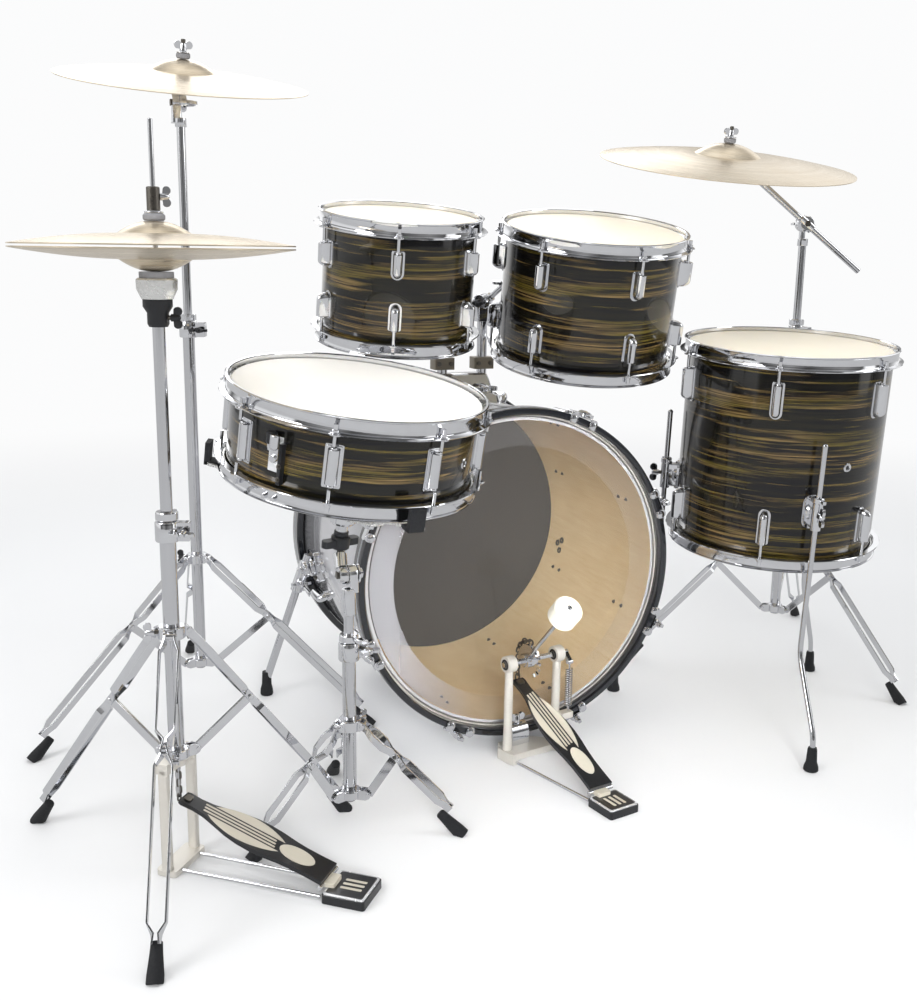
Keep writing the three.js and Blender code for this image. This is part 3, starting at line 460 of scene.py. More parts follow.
def slab(outline, low, high):
    """An outline in XY, anticlockwise, given thickness along Z."""
    count = len(outline)
    corners = [(x, y, low) for x, y in outline] + [(x, y, high) for x, y in outline]
    faces = [tuple(reversed(range(count))), tuple(range(count, 2 * count))]
    faces += [(i, (i + 1) % count, count + (i + 1) % count, count + i) for i in range(count)]
    return corners, faces


def anticlockwise(outline):
    area = sum(a[0] * b[1] - b[0] * a[1] for a, b in zip(outline, outline[1:] + outline[:1])) / 2
    return outline[::-1] if area < 0 else outline


def brick(low, high):
    (x0, y0, z0), (x1, y1, z1) = low, high
    return slab([(x0, y0), (x1, y0), (x1, y1), (x0, y1)], z0, z1)


def round_box(width, height, radius, steps=5):
    """Outline of a rectangle with round corners, centred."""
    points = []
    for cx, cy, start in ((1, -1, -90), (1, 1, 0), (-1, 1, 90), (-1, -1, 180)):
        for i in range(steps + 1):
            a = math.radians(start + 90 * i / steps)
            points.append((cx * (width / 2 - radius) + radius * math.cos(a),
                           cy * (height / 2 - radius) + radius * math.sin(a)))
    return points


def bullet_outline(width, height, corner=2.0, steps=14):
    """Flat at the top, half round at the bottom, centred."""
    half = width / 2
    points = [(half * math.cos(a), -height / 2 + half + half * math.sin(a))
              for a in (math.radians(180 + 180 * i / steps) for i in range(steps + 1))]
    return points + [(half, height / 2 - corner), (half - corner, height / 2),
                     (-half + corner, height / 2), (-half, height / 2 - corner)]


def half_bullet(width, depth, height, dome, sides=16, rows=7):
    """Half of an upright rounded bar, domed at its lower end, standing out along Z."""
    levels = [(height / 2, 0.86), (height / 2 - 1.2, 1.0), (-height / 2 + dome, 1.0)]
    levels += [(-height / 2 + dome - dome * math.sin(a), math.cos(a))
               for a in (math.pi / 2 * i / rows for i in range(1, rows + 1))]
    corners, faces = [], []
    for y, size in levels:
        size = max(size, 0.02)
        corners.extend((width / 2 * size * math.cos(a), y, depth * size * math.sin(a) ** 0.6)
                       for a in (math.pi * i / sides for i in range(sides + 1)))
    count = sides + 1
    for i in range(len(levels) - 1):
        for j in range(sides):
            a = i * count + j
            faces.append((a, a + count, a + count + 1, a + 1))
    faces.append(tuple(range(count)))
    return corners, faces


def lobes(reach, size, boss):
    """Outline of a wing nut's two ears."""
    right = [(boss * 0.8, -boss * 0.7), (reach - size, -size * 0.55)]
    right += [(reach - size + size * math.cos(a), size * 0.35 + size * math.sin(a))
              for a in (math.radians(-60 + 30 * i) for i in range(8))]
    right += [(boss * 0.8, boss * 0.35)]
    return right + [(-x, y) for x, y in reversed(right)]


def wing_nut(reach=15, thick=4, boss=5, height=12):
    ears = moved(slab(lobes(reach, reach * 0.42, boss), -thick / 2, thick / 2),
                 shift(z=height * 0.55) @ turned(90, "X"))
    core = lathe([(0, 0), (boss, 0), (boss * 0.85, height * 0.8), (boss * 0.5, height), (0, height)], 20)
    return joined(core, ears)


def arc_path(centre, radius, start, end, steps, plane="XY"):
    """Points on an arc in degrees; the plane's two letters are the first and second axes."""
    points = []
    for i in range(steps + 1):
        a = math.radians(start + (end - start) * i / steps)
        offset = dict(zip(plane, (radius * math.cos(a), radius * math.sin(a))))
        points.append(tuple(c + offset.get(axis, 0) for c, axis in zip(centre, "XYZ")))
    return points


def smooth_path(points, rounding=12.0, steps=5):
    """A polyline with its corners rounded."""
    points = [Vector(p) for p in points]
    path = [points[0]]
    for before, corner, after in zip(points, points[1:], points[2:]):
        a = (before - corner)
        b = (after - corner)
        reach = min(rounding, a.length / 2.2, b.length / 2.2)
        start, end = corner + a.normalized() * reach, corner + b.normalized() * reach
        for i in range(steps + 1):
            t = i / steps
            path.append(start.lerp(corner, t).lerp(corner.lerp(end, t), t))
    return path + [points[-1]]


def spiral(radius, wire, low, high, turns, sides=8, steps=14):
    path = []
    for i in range(int(turns * steps) + 1):
        a = TAU * i / steps
        path.append((radius * math.cos(a), radius * math.sin(a), low + (high - low) * i / (turns * steps)))
    return swept(path, circle(wire, sides))


# ------------------------------------------------------------------ pieces

FINISH = {}


def piece(name, body, where, parts, replaces=(), bevel=0.0, sharp=32):
    """One object from (shape, finish) pairs in the frame `where`, riding on a CAD body."""
    corners, faces, indices, used = [], [], [], []
    for shape, finish in parts:
        if finish not in used:
            used.append(finish)
        start = len(corners)
        corners.extend(Vector(c) for c in shape[0])
        faces.extend(tuple(start + i for i in side) for side in shape[1])
        indices.extend([used.index(finish)] * len(shape[1]))
    mesh = bpy.data.meshes.new(name)
    mesh.from_pydata([where @ c for c in corners], [], faces)
    place = mesh.attributes.new("place", "FLOAT_VECTOR", "POINT")
    place.data.foreach_set("vector", [value for c in corners for value in c])
    for finish in used:
        mesh.materials.append(FINISH[finish])
    mesh.polygons.foreach_set("material_index", indices)
    mesh.shade_smooth()
    mesh.set_sharp_from_angle(angle=math.radians(sharp))
    made = bpy.data.objects.new(name, mesh)
    bpy.context.scene.collection.objects.link(made)
    if bevel:
        edge = made.modifiers.new("edge", "BEVEL")
        edge.width = bevel / 1000
        edge.segments = 2
        edge.limit_method = "ANGLE"
        edge.angle_limit = math.radians(38)
        edge.harden_normals = False
    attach(made, body)
    if replaces:
        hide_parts(*replaces)
    return made


def tilted(position, axis):
    turn = UP.rotation_difference(Vector(axis).normalized()).to_matrix().to_4x4()
    return KIT @ Matrix.Translation(position) @ turn


def outward(degrees, radius, z=0.0):
    """The frame on a drum's wall: X along the wall, Y up, Z out."""
    wall = Matrix(((0, 0, 1, radius), (1, 0, 0, 0), (0, 1, 0, z), (0, 0, 0, 1)))
    return turned(degrees) @ wall


def polar(radius, degrees, z=0.0):
    a = math.radians(degrees)
    return (radius * math.cos(a), radius * math.sin(a), z)


# ------------------------------------------------------------------ drums with pressed hoops

SHELL_GAP = 8.4                  # from the rim's top to the shell's edge
BEAD_WALL = 6.0                  # wall of the toms' and snare's shells
HOOP_PROFILE = [
    (4.8, -22.6), (4.8, -1.4), (5.6, -0.2), (8.6, 0), (10.0, -0.9), (9.6, -2.2), (7.9, -3.0),
    (7.2, -4.6), (7.2, -18.6), (8.2, -20.6), (11, -21.3), (15.8, -21.5), (16.8, -22.6),
    (15.8, -23.8), (6.4, -23.9),
]
ROD_OFFSET = 12.0

DRUMS = {
    "tom1": dict(rim=(-181, 112, 927), axis=(0, -0.167, 0.986), radius=127, depth=215, lugs=6,
                 first=-110, top=46, length=42, body="tom1"),
    "tom2": dict(rim=(158, 70, 910), axis=(-0.0205, -0.205, 0.9785), radius=152.5, depth=240, lugs=6,
                 first=-88.6, top=45, length=46, body="tom2"),
    "floor_tom": dict(rim=(509, -29, 715), axis=(-0.0148, -0.0738, 0.9972), radius=177.8, depth=375,
                      lugs=6, first=-132, top=47, length=60, body="kit"),
    "snare": dict(rim=(-340, -163, 678), axis=(0.0791, -0.1526, 0.9851), radius=177.8, depth=138,
                  lugs=8, first=-115, top=38, length=62, body="snare_drum"),
}


def drum_frame(name):
    return tilted(DRUMS[name]["rim"], DRUMS[name]["axis"])


def lug_angles(spec):
    return [spec["first"] + 360 / spec["lugs"] * i for i in range(spec["lugs"])]


def over(shape, depth):
    """The same shape for the drum's lower end."""
    corners, faces = shape
    flipped = [(Vector(c).x, Vector(c).y, -depth - Vector(c).z) for c in corners]
    return flipped, [tuple(reversed(side)) for side in faces]


def tension_rod(top):
    return joined(
        drum(2.6, -top - 1, -16, 14), drum(6.6, -21.4, -20.0, 24, 0.4), drum(4.6, -20.0, -16.4, 20, 0.5),
        slab(round_box(6.0, 6.0, 1.0, 2), -16.4, -9.4))


def hoop_shapes(spec):
    r = spec["radius"]
    rim = lathe([(r + x, z) for x, z in HOOP_PROFILE], 120, closed=True)
    ears, rods = [], []
    for angle in lug_angles(spec):
        spot = Matrix.Translation(polar(r + ROD_OFFSET, angle))
        ears.append(moved(drum(8.8, -24.0, -21.4, 28, 0.6), spot))
        rods.append(moved(tension_rod(spec["top"]), spot @ turned(angle)))
    return rim, joined(*ears), joined(*rods)


def small_lug(length):
    """Bullet-shaped casing on a rimmed plate, flat end toward the hoop."""
    plate = slab(bullet_outline(21, length + 3), -1.5, 2.0)
    body = moved(half_bullet(16, 20, length - 2, 11), shift(z=1.5))
    collar = moved(drum(4.8, 0, 2.6, 20, 0.4), shift(y=length / 2 - 1.4, z=ROD_OFFSET - 2.2)
                   @ turned(-90, "X"))
    return joined(plate, body, collar)


def lug_pair(spec):
    r, top, length = spec["radius"], spec["top"], spec["length"]
    upper = moved(small_lug(length), shift(y=-top - length / 2))
    lower = moved(small_lug(length), shift(y=-spec["depth"] + top + length / 2) @ turned(180))
    return [moved(joined(upper, lower), outward(a, r)) for a in lug_angles(spec)]


def snare_lug():
    """Half-round casing on a flat plate, with a rod at both ends."""
    plate = slab(round_box(25, 60, 2.5), -1.5, 1.6)
    raised = slab(round_box(21, 56, 2), 1.6, 3.2)
    face = rod((0, -24, 4), (0, 24, 4), 8.4, 22)
    ends = [moved(drum(5, 0, 3.4, 20, 0.5), shift(y=24 * s, z=ROD_OFFSET - 5) @ turned(-90 * s, "X"))
            for s in (-1, 1)]
    return joined(plate, raised, face, *ends)


def make_drum(name, lugs, head):
    spec = DRUMS[name]
    r, depth, body = spec["radius"], spec["depth"], spec["body"]
    where = drum_frame(name)
    end, bore = SHELL_GAP, r - BEAD_WALL
    outer = lathe([(bore, -depth + end), (r - 1.5, -depth + end), (r, -depth + end + 4),
                   (r, -end - 4), (r - 1.5, -end), (bore, -end)], 144)
    inner = lathe([(bore, -end), (bore, -depth + end)], 96)
    piece(f"{name}_wrap", body, where, [(outer, "wrap"), (inner, "ply")],
          replaces=[f"{name}_shell"])
    piece(f"{name}_lugs", body, where, [(joined(*lugs), "chrome")], bevel=0.5)
    rim, ears, rods = hoop_shapes(spec)
    for place, turn in (("batter", lambda s: s), ("bottom", lambda s: over(s, depth))):
        piece(f"{name}_{place}_rim", body, where,
              [(turn(rim), "chrome"), (turn(ears), "chrome")], replaces=[f"{name}_{place}_hoop"])
        piece(f"{name}_{place}_rods", body, where, [(turn(rods), "chrome")])
        skin = lathe([(0, -7), (r - 3, -7), (r - 0.4, -7.3), (r + 1.0, -8.6), (r + 1.8, -12)], 120)
        flesh = lathe([(r + 1.6, -18.6), (r + 4.3, -18.6), (r + 4.3, -10), (r + 3.6, -9.2),
                       (r + 1.6, -9.2)], 120, closed=True)
        finish = head if place == "batter" else "cream_head"
        piece(f"{name}_{place}_skin", body, where, [(turn(skin), finish), (turn(flesh), "aluminium")],
              replaces=[f"{name}_{place}_head"])


def grommet(name, drum_name, degrees, z):
    spec = DRUMS[drum_name]
    ring = lathe([(3.4, -1), (8, -1), (8, 0.8), (6.8, 2.2), (4.6, 2.2), (3.4, 0.8)], 28, closed=True)
    bore = drum(3.5, -1, 0.2, 16)
    where = outward(degrees, spec["radius"], z)
    piece(name, spec["body"], drum_frame(drum_name),
          [(moved(ring, where), "chrome"), (moved(bore, where), "black")])


# ------------------------------------------------------------------ stands

BOOT = [(42, 5.6), (40, 7.4), (28, 8.2), (14, 9.6), (3, 10.8), (-8, 11)]    # reach up the leg, radius


def foot_shape(spread, slope):
    """A rubber boot on a leg's end: it follows the leg and is cut off flat on the floor."""
    down = Vector((1, 0, -slope)).normalized()
    path = [Vector((spread, 0, 4)) - down * reach for reach, _ in BOOT]
    corners, faces = swept(path, circle(1.0, 28), (0, 1, 0), [radius for _, radius in BOOT])
    return [Vector((c[0], c[1], max(c[2], 0.0))) for c in corners], faces


STANDS = {
    "snare_stand": dict(centre=(-357, -160), legs=(-160, -33, 83), spread=172, collar=163, hub=50,
                        lower=10.2, upper=7.4, bore=5.6, top=292, insert=88, mouth=376, pivot=396),
    "hihat_stand": dict(centre=(-618, -190), legs=(-105, 15, 133), spread=272, collar=350, hub=171,
                        lower=11, upper=8.2, bore=5.8, top=505, insert=119, mouth=780),
    "crash_stand": dict(centre=(-496, 361), legs=(-33, 85, 202), spread=330, collar=301, hub=99,
                        lower=10.4, upper=7.6, bore=5.6, top=735, insert=138, mouth=1080),
    "ride_stand": dict(centre=(727, 235), legs=(-77, 43, 163), spread=322, collar=330, hub=112,
                       lower=10.6, upper=8, bore=6, top=722, insert=120, mouth=898, pivot=928),
}
COLLAR_REACH = 16.0
STAY_SHARE = 0.42                # where the stay meets the leg, as a share of its spread
LEG_TURN = 13.0                  # length of each bend in a leg's strips
LEG_END = (14.0, 40.0)           # the strips stop this far inside the foot, at this height
HUB_REACH = 30.0                 # the stays' lower rivets


def leg_shapes(spec):
    """Two flat strips that part, meet at the stay's rivet, part again and meet at the foot."""
    spread, collar, hub = spec["spread"], spec["collar"], spec["hub"]
    top, end = Vector((COLLAR_REACH + 6, 0, collar)), Vector((spread - LEG_END[0], 0, LEG_END[1]))
    low = Vector((HUB_REACH, 0, hub))
    share = (spread * STAY_SHARE - top.x) / (end.x - top.x)
    pivot = top.lerp(end, share)
    turn = LEG_TURN

    def bowed(start, stop, side, narrow, wide, close):
        length = (stop - start).length
        stations = [(0, narrow), (turn * 0.7, narrow), (turn * 1.7, wide), (length - turn * 1.9, wide),
                    (length - turn * 0.9, close), (length, close)]
        return [start.lerp(stop, reach / length) + Vector((0, side * out, 0)) for reach, out in stations]

    strips = []
    for side in (-1, 1):
        path = bowed(top, pivot, side, 6.2, 12.5, 3.4) + bowed(pivot, end, side, 3.4, 11.5, 4.5)[1:]
        strips.append(swept(path, oblong(2.6, 11)))
    rivets = [moved(drum(4.4, -reach, reach, 18, 1), shift(*p) @ turned(90, "X"))
              for p, reach in ((pivot, 6.6), (top, 9.6), (low, 7.2))]
    stays = [moved(swept([low, pivot], oblong(2.0, 13)), shift(y=y)) for y in (-1.2, 1.2)]
    return strips + rivets + stays


def leg_ring(inner, outer, low, high, angles, ear_reach, ear_width):
    """A cast collar with a pair of ears for each leg."""
    middle = (low + high) / 2
    parts = [lathe([(inner, low), (outer - 1.5, low), (outer, low + 1.5), (outer, high - 1.5),
                    (outer - 1.5, high), (inner, high)], 40, closed=True)]
    outline = [(outer - 4, -8), (ear_reach - 4, -8), (ear_reach + 2, -5), (ear_reach + 4, 0),
               (ear_reach + 2, 5), (ear_reach - 4, 8), (outer - 4, 8)]
    for angle in angles:
        for side in (-1, 1):
            ear = moved(slab(outline, -1.6, 1.6), turned(90, "X"))
            parts.append(moved(ear, turned(angle) @ shift(y=side * ear_width, z=middle)))
    return joined(*parts)


def tube_clamp(radius, low, high, degrees, finish_wing):
    """The split clamp at a tube's mouth, with its wing bolt."""
    body = lathe([(radius - 1.5, low), (radius + 4.5, low), (radius + 5.5, low + 2), (radius + 5.5, high - 2),
                  (radius + 4.5, high), (radius - 1.5, high)], 40, closed=True)
    middle = (low + high) / 2
    lug = moved(slab(round_box(20, high - low - 2, 3), -7, 7),
                turned(degrees) @ shift(radius + 11, 0, middle) @ turned(90, "X"))
    bolt = turned(degrees) @ shift(radius + 13, 0, middle) @ turned(90, "X")
    stem = moved(drum(3, -16, 16, 14), bolt)
    wings = moved(wing_nut(17, 4.5, 5.5, 15), bolt @ shift(z=12))
    nut = moved(drum(5, -13, -7.5, 6), bolt)
    return [(body, "chrome"), (lug, "chrome"), (stem, "steel"), (wings, finish_wing), (nut, "chrome")]


def tripod(name, angles, wing_finish="chrome", extra=()):
    """A stand's base; `angles` turn its clamp, its collar's bolt and its memory lock."""
    spec = STANDS[name]
    clamp_angle, bolt_angle, lock_angle = angles
    lower, top, hub, collar = (spec[k] for k in ("lower", "top", "hub", "collar"))
    where = KIT @ shift(*spec["centre"], 0)
    bore = lower - 2
    tube = lathe([(bore, top), (lower, top), (lower, hub - 8), (lower - 2, hub - 12), (bore, hub - 12)], 48)
    floor = [] if name == "hihat_stand" else [(drum(bore + 0.5, hub - 12, hub - 9, 32), "black")]
    rings = joined(leg_ring(lower - 1, lower + 8, collar - 9, collar + 9, spec["legs"], 22, 7.4),
                   leg_ring(lower - 1, lower + 6.5, hub - 7, hub + 7, spec["legs"], 30, 5.2))
    legs = [moved(shape, turned(a)) for a in spec["legs"] for shape in leg_shapes(spec)]
    slope = (collar - LEG_END[1]) / (spec["spread"] - COLLAR_REACH - 20)
    feet = [moved(foot_shape(spec["spread"], slope), turned(a)) for a in spec["legs"]]
    parts = [(tube, "tube"), (rings, "chrome"), (joined(*legs), "chrome"), (joined(*feet), "rubber"), *floor]
    parts += tube_clamp(lower, top - 27, top + 1, clamp_angle, wing_finish)
    bolt = turned(bolt_angle) @ shift(lower + 7, 0, collar) @ turned(90, "Y")
    parts += [(moved(wing_nut(14, 4, 5, 13), bolt @ shift(z=5)), wing_finish),
              (moved(drum(3, 0, 8, 14), bolt), "steel")]
    parts += [*extra, *memory_lock(spec["upper"], top + 2, lock_angle)]
    piece(f"{name}_base", "kit", where, parts, replaces=[f"{name}_tripod"], bevel=0.4)
    return where


def upper_tube(name, sides=40):
    spec = STANDS[name]
    return hollow(spec["bore"], spec["upper"], spec["top"] - spec["insert"], spec["mouth"], sides)


def memory_lock(radius, z, degrees):
    """A collar clamped on the upper tube just above the mouth."""
    band = lathe([(radius, z), (radius + 6, z), (radius + 7, z + 1.5), (radius + 7, z + 10.5),
                  (radius + 6, z + 12), (radius, z + 12)], 36, closed=True)
    spot = turned(degrees) @ shift(radius + 6, 0, z + 6) @ turned(90, "Y")
    screw = joined(moved(drum(3.2, 0, 9, 14), spot), moved(slab(round_box(6, 6, 1, 2), 9, 15), spot))
    return [(band, "chrome"), (screw, "chrome")]


def cymbal_shape(radius, hole, thick=1.5):
    bell, crown = radius * 0.26, radius * 0.075
    peak = crown + radius * 0.085
    under = []
    for i in range(15):
        t = i / 14
        r = radius + (bell - radius) * t
        under.append((r, crown * (1 - (1 - t) ** 1.7)))
    for i in range(1, 9):
        t = i / 8
        r = bell + (hole - bell) * t
        rise = math.sin(t * math.pi / 2) ** 0.9
        under.append((r, crown + (peak - crown) * rise))
    upper = [(r, z + thick) for r, z in reversed(under)]
    return lathe(under + upper, 144, closed=True), peak


def cymbal_top(peak, felt="grey_felt"):
    """Felts, sleeve and wing nut above and below a cymbal's bell, on its stem."""
    above, below = peak + 2.6, peak - 1.0
    return [
        (drum(12, above, above + 10, 36, 2.5), felt),
        (drum(12.5, above + 10.2, above + 11.6, 32, 0.5), "chrome"),
        (moved(wing_nut(16, 4.5, 6, 15), shift(z=above + 11.6)), "chrome"),
        (drum(4, below - 24, above + 32, 18, 1), "steel"), (drum(11.5, below - 11, below - 0.4, 36, 2), felt),
        (lathe([(0, below - 20), (8, below - 20), (13, below - 13), (13, below - 11), (0, below - 11)],
               32), "chrome"),
    ]


def tilter_discs(centre, axis, radius, half, side, finish="chrome"):
    """One half of a toothed tilter: a disc on one side of the hinge's middle, with a bolt head."""
    a = Vector(centre) + Vector(axis).normalized() * side * 0.3
    b = Vector(centre) + Vector(axis).normalized() * side * half
    frame_at = along(a, b)
    length = (b - a).length
    body = lathe([(0, 0), (radius, 0), (radius, length * 0.7), (radius * 0.86, length), (0, length)], 40)
    teeth = [moved(brick((radius - 2.5, -0.7, -0.1), (radius + 0.4, 0.7, 2.2)), turned(360 / 28 * i))
             for i in range(28)]
    head = drum(radius * 0.42, length, length + 3, 6)
    return [(moved(body, frame_at), finish), (moved(joined(*teeth), frame_at), finish),
            (moved(head, frame_at), "steel")]


# ------------------------------------------------------------------ bass drum

BASS = dict(height=316, hoop=293, inner=281, hoop_depth=38, shell=277, ply=7, depth=448, set=18.7)
BASS_ANGLES = [22.5 + 45 * i for i in range(8)]
BASS_LUG = 94.3                  # from a hoop's face to the middle of its lugs
RING_FILM = (226, 268)           # radii of the damping ring on the batter head
BATTER = KIT @ shift(0, 0, BASS["height"]) @ turned(-90, "X")
FRONT = KIT @ shift(0, BASS["depth"], BASS["height"]) @ turned(180) @ turned(-90, "X")


def bass_hoop():
    a, b, d = BASS["inner"], BASS["hoop"], BASS["hoop_depth"]
    wood = lathe([(a + 2, 0), (b - 3, 0), (b - 1, 0.8), (b, 3), (b, 14.8), (b - 0.4, 15.2), (b - 0.4, 20.8),
                  (b, 21.2), (b, d - 3), (b - 2, d), (a + 1, d), (a, d - 1), (a, 2)], 160, closed=True)
    strip = lathe([(b - 1, 15.3), (b + 0.1, 15.6), (b + 0.1, 20.4), (b - 1, 20.7)], 160, closed=True)
    return [(wood, "lacquer"), (strip, "inlay")]


def claw():
    """Two round hooks over the hoop's face on a curved strap, and the rod between them."""
    hooks = []
    for side in (-1, 1):
        tab = moved(slab(round_box(15, 19, 7, 6), 0, 3.2), shift(y=-5.5))
        cap = moved(lathe([(7.4, 0), (7.2, 1.6), (5.4, 3.2), (2.4, 4.0), (0, 4.2)], 28), shift(y=-7, z=3.2))
        face = shift(x=side * 20, y=-0.5) @ turned(90, "X")
        hooks.append(moved(joined(tab, cap), face))
    strap = slab(round_box(54, 15, 5, 5), 1.0, 3.6)
    middle = moved(half_bullet(16, 11, 24, 7), shift(y=6, z=2.5))
    rod_part = moved(joined(drum(3.2, -62, 12, 18), drum(6.2, 10, 12.4, 24, 0.4),
                            drum(4.8, 12.4, 15.5, 20, 0.5),
                            slab(round_box(6.4, 6.4, 1, 2), 15.5, 22)), shift(z=6) @ turned(90, "X"))
    return joined(*hooks, moved(strap, shift(y=5.5)), middle, rod_part)


def bass_head_parts(film_finish):
    r, z = BASS["shell"], BASS["set"]
    skin = lathe([(0, z), (r - 6, z), (r - 2, z + 0.2), (r + 0.6, z + 1.4), (r + 1.6, z + 5)], 160)
    flesh = lathe([(r + 0.6, z + 1.2), (r + 3.4, z + 0.6), (r + 3.6, z + 10.5), (r + 0.6, z + 10.5)], 160,
                  closed=True)
    return [(skin, film_finish), (flesh, "black" if film_finish == "dark_head" else "cast")]


def screw_head(radius=4.0):
    return joined(drum(radius * 1.5, 0, 1.0, 24, 0.3), drum(radius, 1.0, 3.4, 6, 0.3))


def make_bass_drum():
    r, wall, depth = BASS["shell"], BASS["ply"], BASS["depth"]
    end = BASS["set"] + 2.3
    outer = lathe([(r - wall, end), (r - 2, end), (r, end + 5), (r, depth - end - 5), (r - 2, depth - end),
                   (r - wall, depth - end)], 160)
    inner = lathe([(r - wall, depth - end), (r - wall, end)], 128)
    piece("bass_wrap", "kit", BATTER, [(outer, "grey"), (inner, "ply")], replaces=["bass_shell"])
    lugs, bolts = [], []
    for a in BASS_ANGLES:
        for z, flip in ((BASS_LUG, 180), (depth - BASS_LUG, 0)):
            lugs.append(moved(small_lug(58), outward(a, r, z) @ turned(flip)))
            for step in (-14, 14):
                bolts.append(moved(screw_head(2.6), outward(a, r - wall, z + step) @ turned(180, "X")))
    for x, y in ((0, 0), (16, 9), (2, 22)):
        bolts.append(moved(hollow(3.2, 6.4, 0, 2.4, 24), outward(11.5, r - wall, 363 + x) @ shift(x=y - 8)
                           @ turned(180, "X")))
    piece("bass_lugs", "kit", BATTER, [(joined(*lugs), "chrome"), (joined(*bolts), "steel")],
          bevel=0.5)
    for name, where, film_finish, slot in (("batter", BATTER, "clear_head", "clear_film"),
                                           ("front", FRONT, "dark_head", "dark_film")):
        piece(f"bass_{name}_wood", "kit", where, bass_hoop(), replaces=[f"bass_{name}_hoop"])
        claws = [moved(claw(), outward(a, BASS["hoop"])) for a in BASS_ANGLES]
        piece(f"bass_{name}_claws", "kit", where, [(joined(*claws), "chrome")], bevel=0.4)
        piece(f"bass_{name}_skin", "kit", where, bass_head_parts(film_finish),
              replaces=[f"bass_{name}_head"])
    # the damping ring's film carries a painted reflection, lighter toward −X
    ring = lathe([(radius, end - 0.6) for radius in RING_FILM], 128)
    piece("bass_damping_ring", "kit", BATTER, [(ring, "ring_film")])


SPUR = dict(height=261, along=363, tip=(364, 394), rod=8)


def spur_points(side):
    rise = (SPUR["height"] - BASS["height"]) / BASS["hoop"]
    out = Vector((side * math.sqrt(1 - rise * rise), 0, rise))
    centre = Vector((0, SPUR["along"], BASS["height"]))
    return out, centre + out * (BASS["shell"] - 2), centre + out * (BASS["shell"] + 22)


def make_spur(name, side):
    out, wall, pivot = spur_points(side)
    seat = along(wall, wall + out)
    plate = slab(round_box(44, 62, 8), 0, 4)
    parts = [(moved(plate, seat), "chrome"), (moved(drum(19, 4, 13, 40, 1.5), seat), "chrome")]
    parts += [(moved(screw_head(3.4), seat @ shift(0, y, 4)), "steel") for y in (-24, 24)]
    piece(f"bass_spur_{name}_seat", "kit", KIT, parts, bevel=0.5)
    tip = Vector((side * SPUR["tip"][0], SPUR["tip"][1], 0))
    down = (tip + Vector((0, 0, 34)) - pivot).normalized()
    seat = along(pivot - out * 7.5, pivot + out)
    head = joined(drum(18, 0, 9, 40, 1.2), drum(12, 9, 15, 32, 1), drum(5.5, 15, 20, 6))
    sleeve = rod(pivot - down * 14, pivot + down * 46, 11.5, 28)
    leg = rod(pivot - down * 30, tip + Vector((0, 0, 30)), SPUR["rod"] - 0.5, 24)
    bolt = pivot + down * 30
    wing = moved(wing_nut(20, 5, 6, 18), along(bolt, bolt + Vector((0, -1, 0.2))) @ shift(z=8))
    stem = rod(bolt, bolt + Vector((0, -14, 3)), 3.4)
    nuts = rod(pivot - down * 4 + Vector((0, -22, 0)), pivot - down * 4 + Vector((0, 16, 0)), 4.4)
    foot_top = tip + Vector((0, 0, 46)) - down * 2
    foot = swept([tip, tip + Vector((0, 0, 3)), tip + Vector((0, 0, 12)), tip.lerp(foot_top, 0.45), foot_top],
                 circle(1.0, 24), (0, 1, 0), [11.5, 12.6, 12, 9.6, 8.6])
    piece(f"bass_spur_{name}_leg", f"spur_{name}", KIT,
          [(moved(head, seat), "chrome"), (sleeve, "chrome"), (leg, "tube"), (wing, "chrome"),
           (stem, "steel"), (nuts, "chrome"), (foot, "rubber")], replaces=[f"bass_spur_{name}"], bevel=0.4)


# ------------------------------------------------------------------ rack toms' mount

MOUNT = dict(along=285, spread=40, pivot=770, top=593)
BRACKETS = {"tom1": (-1, 46), "tom2": (1, 122)}


def bracket_face(name):
    spec, (side, angle) = DRUMS[name], BRACKETS[name]
    local = Vector(polar(spec["radius"] + 20, angle, -spec["depth"] / 2 - 8))
    face = KIT.inverted() @ (drum_frame(name) @ local)
    centre = Vector((side * MOUNT["spread"], MOUNT["along"], MOUNT["pivot"]))
    reach = face - centre
    return centre, reach, UP.cross(reach).normalized()


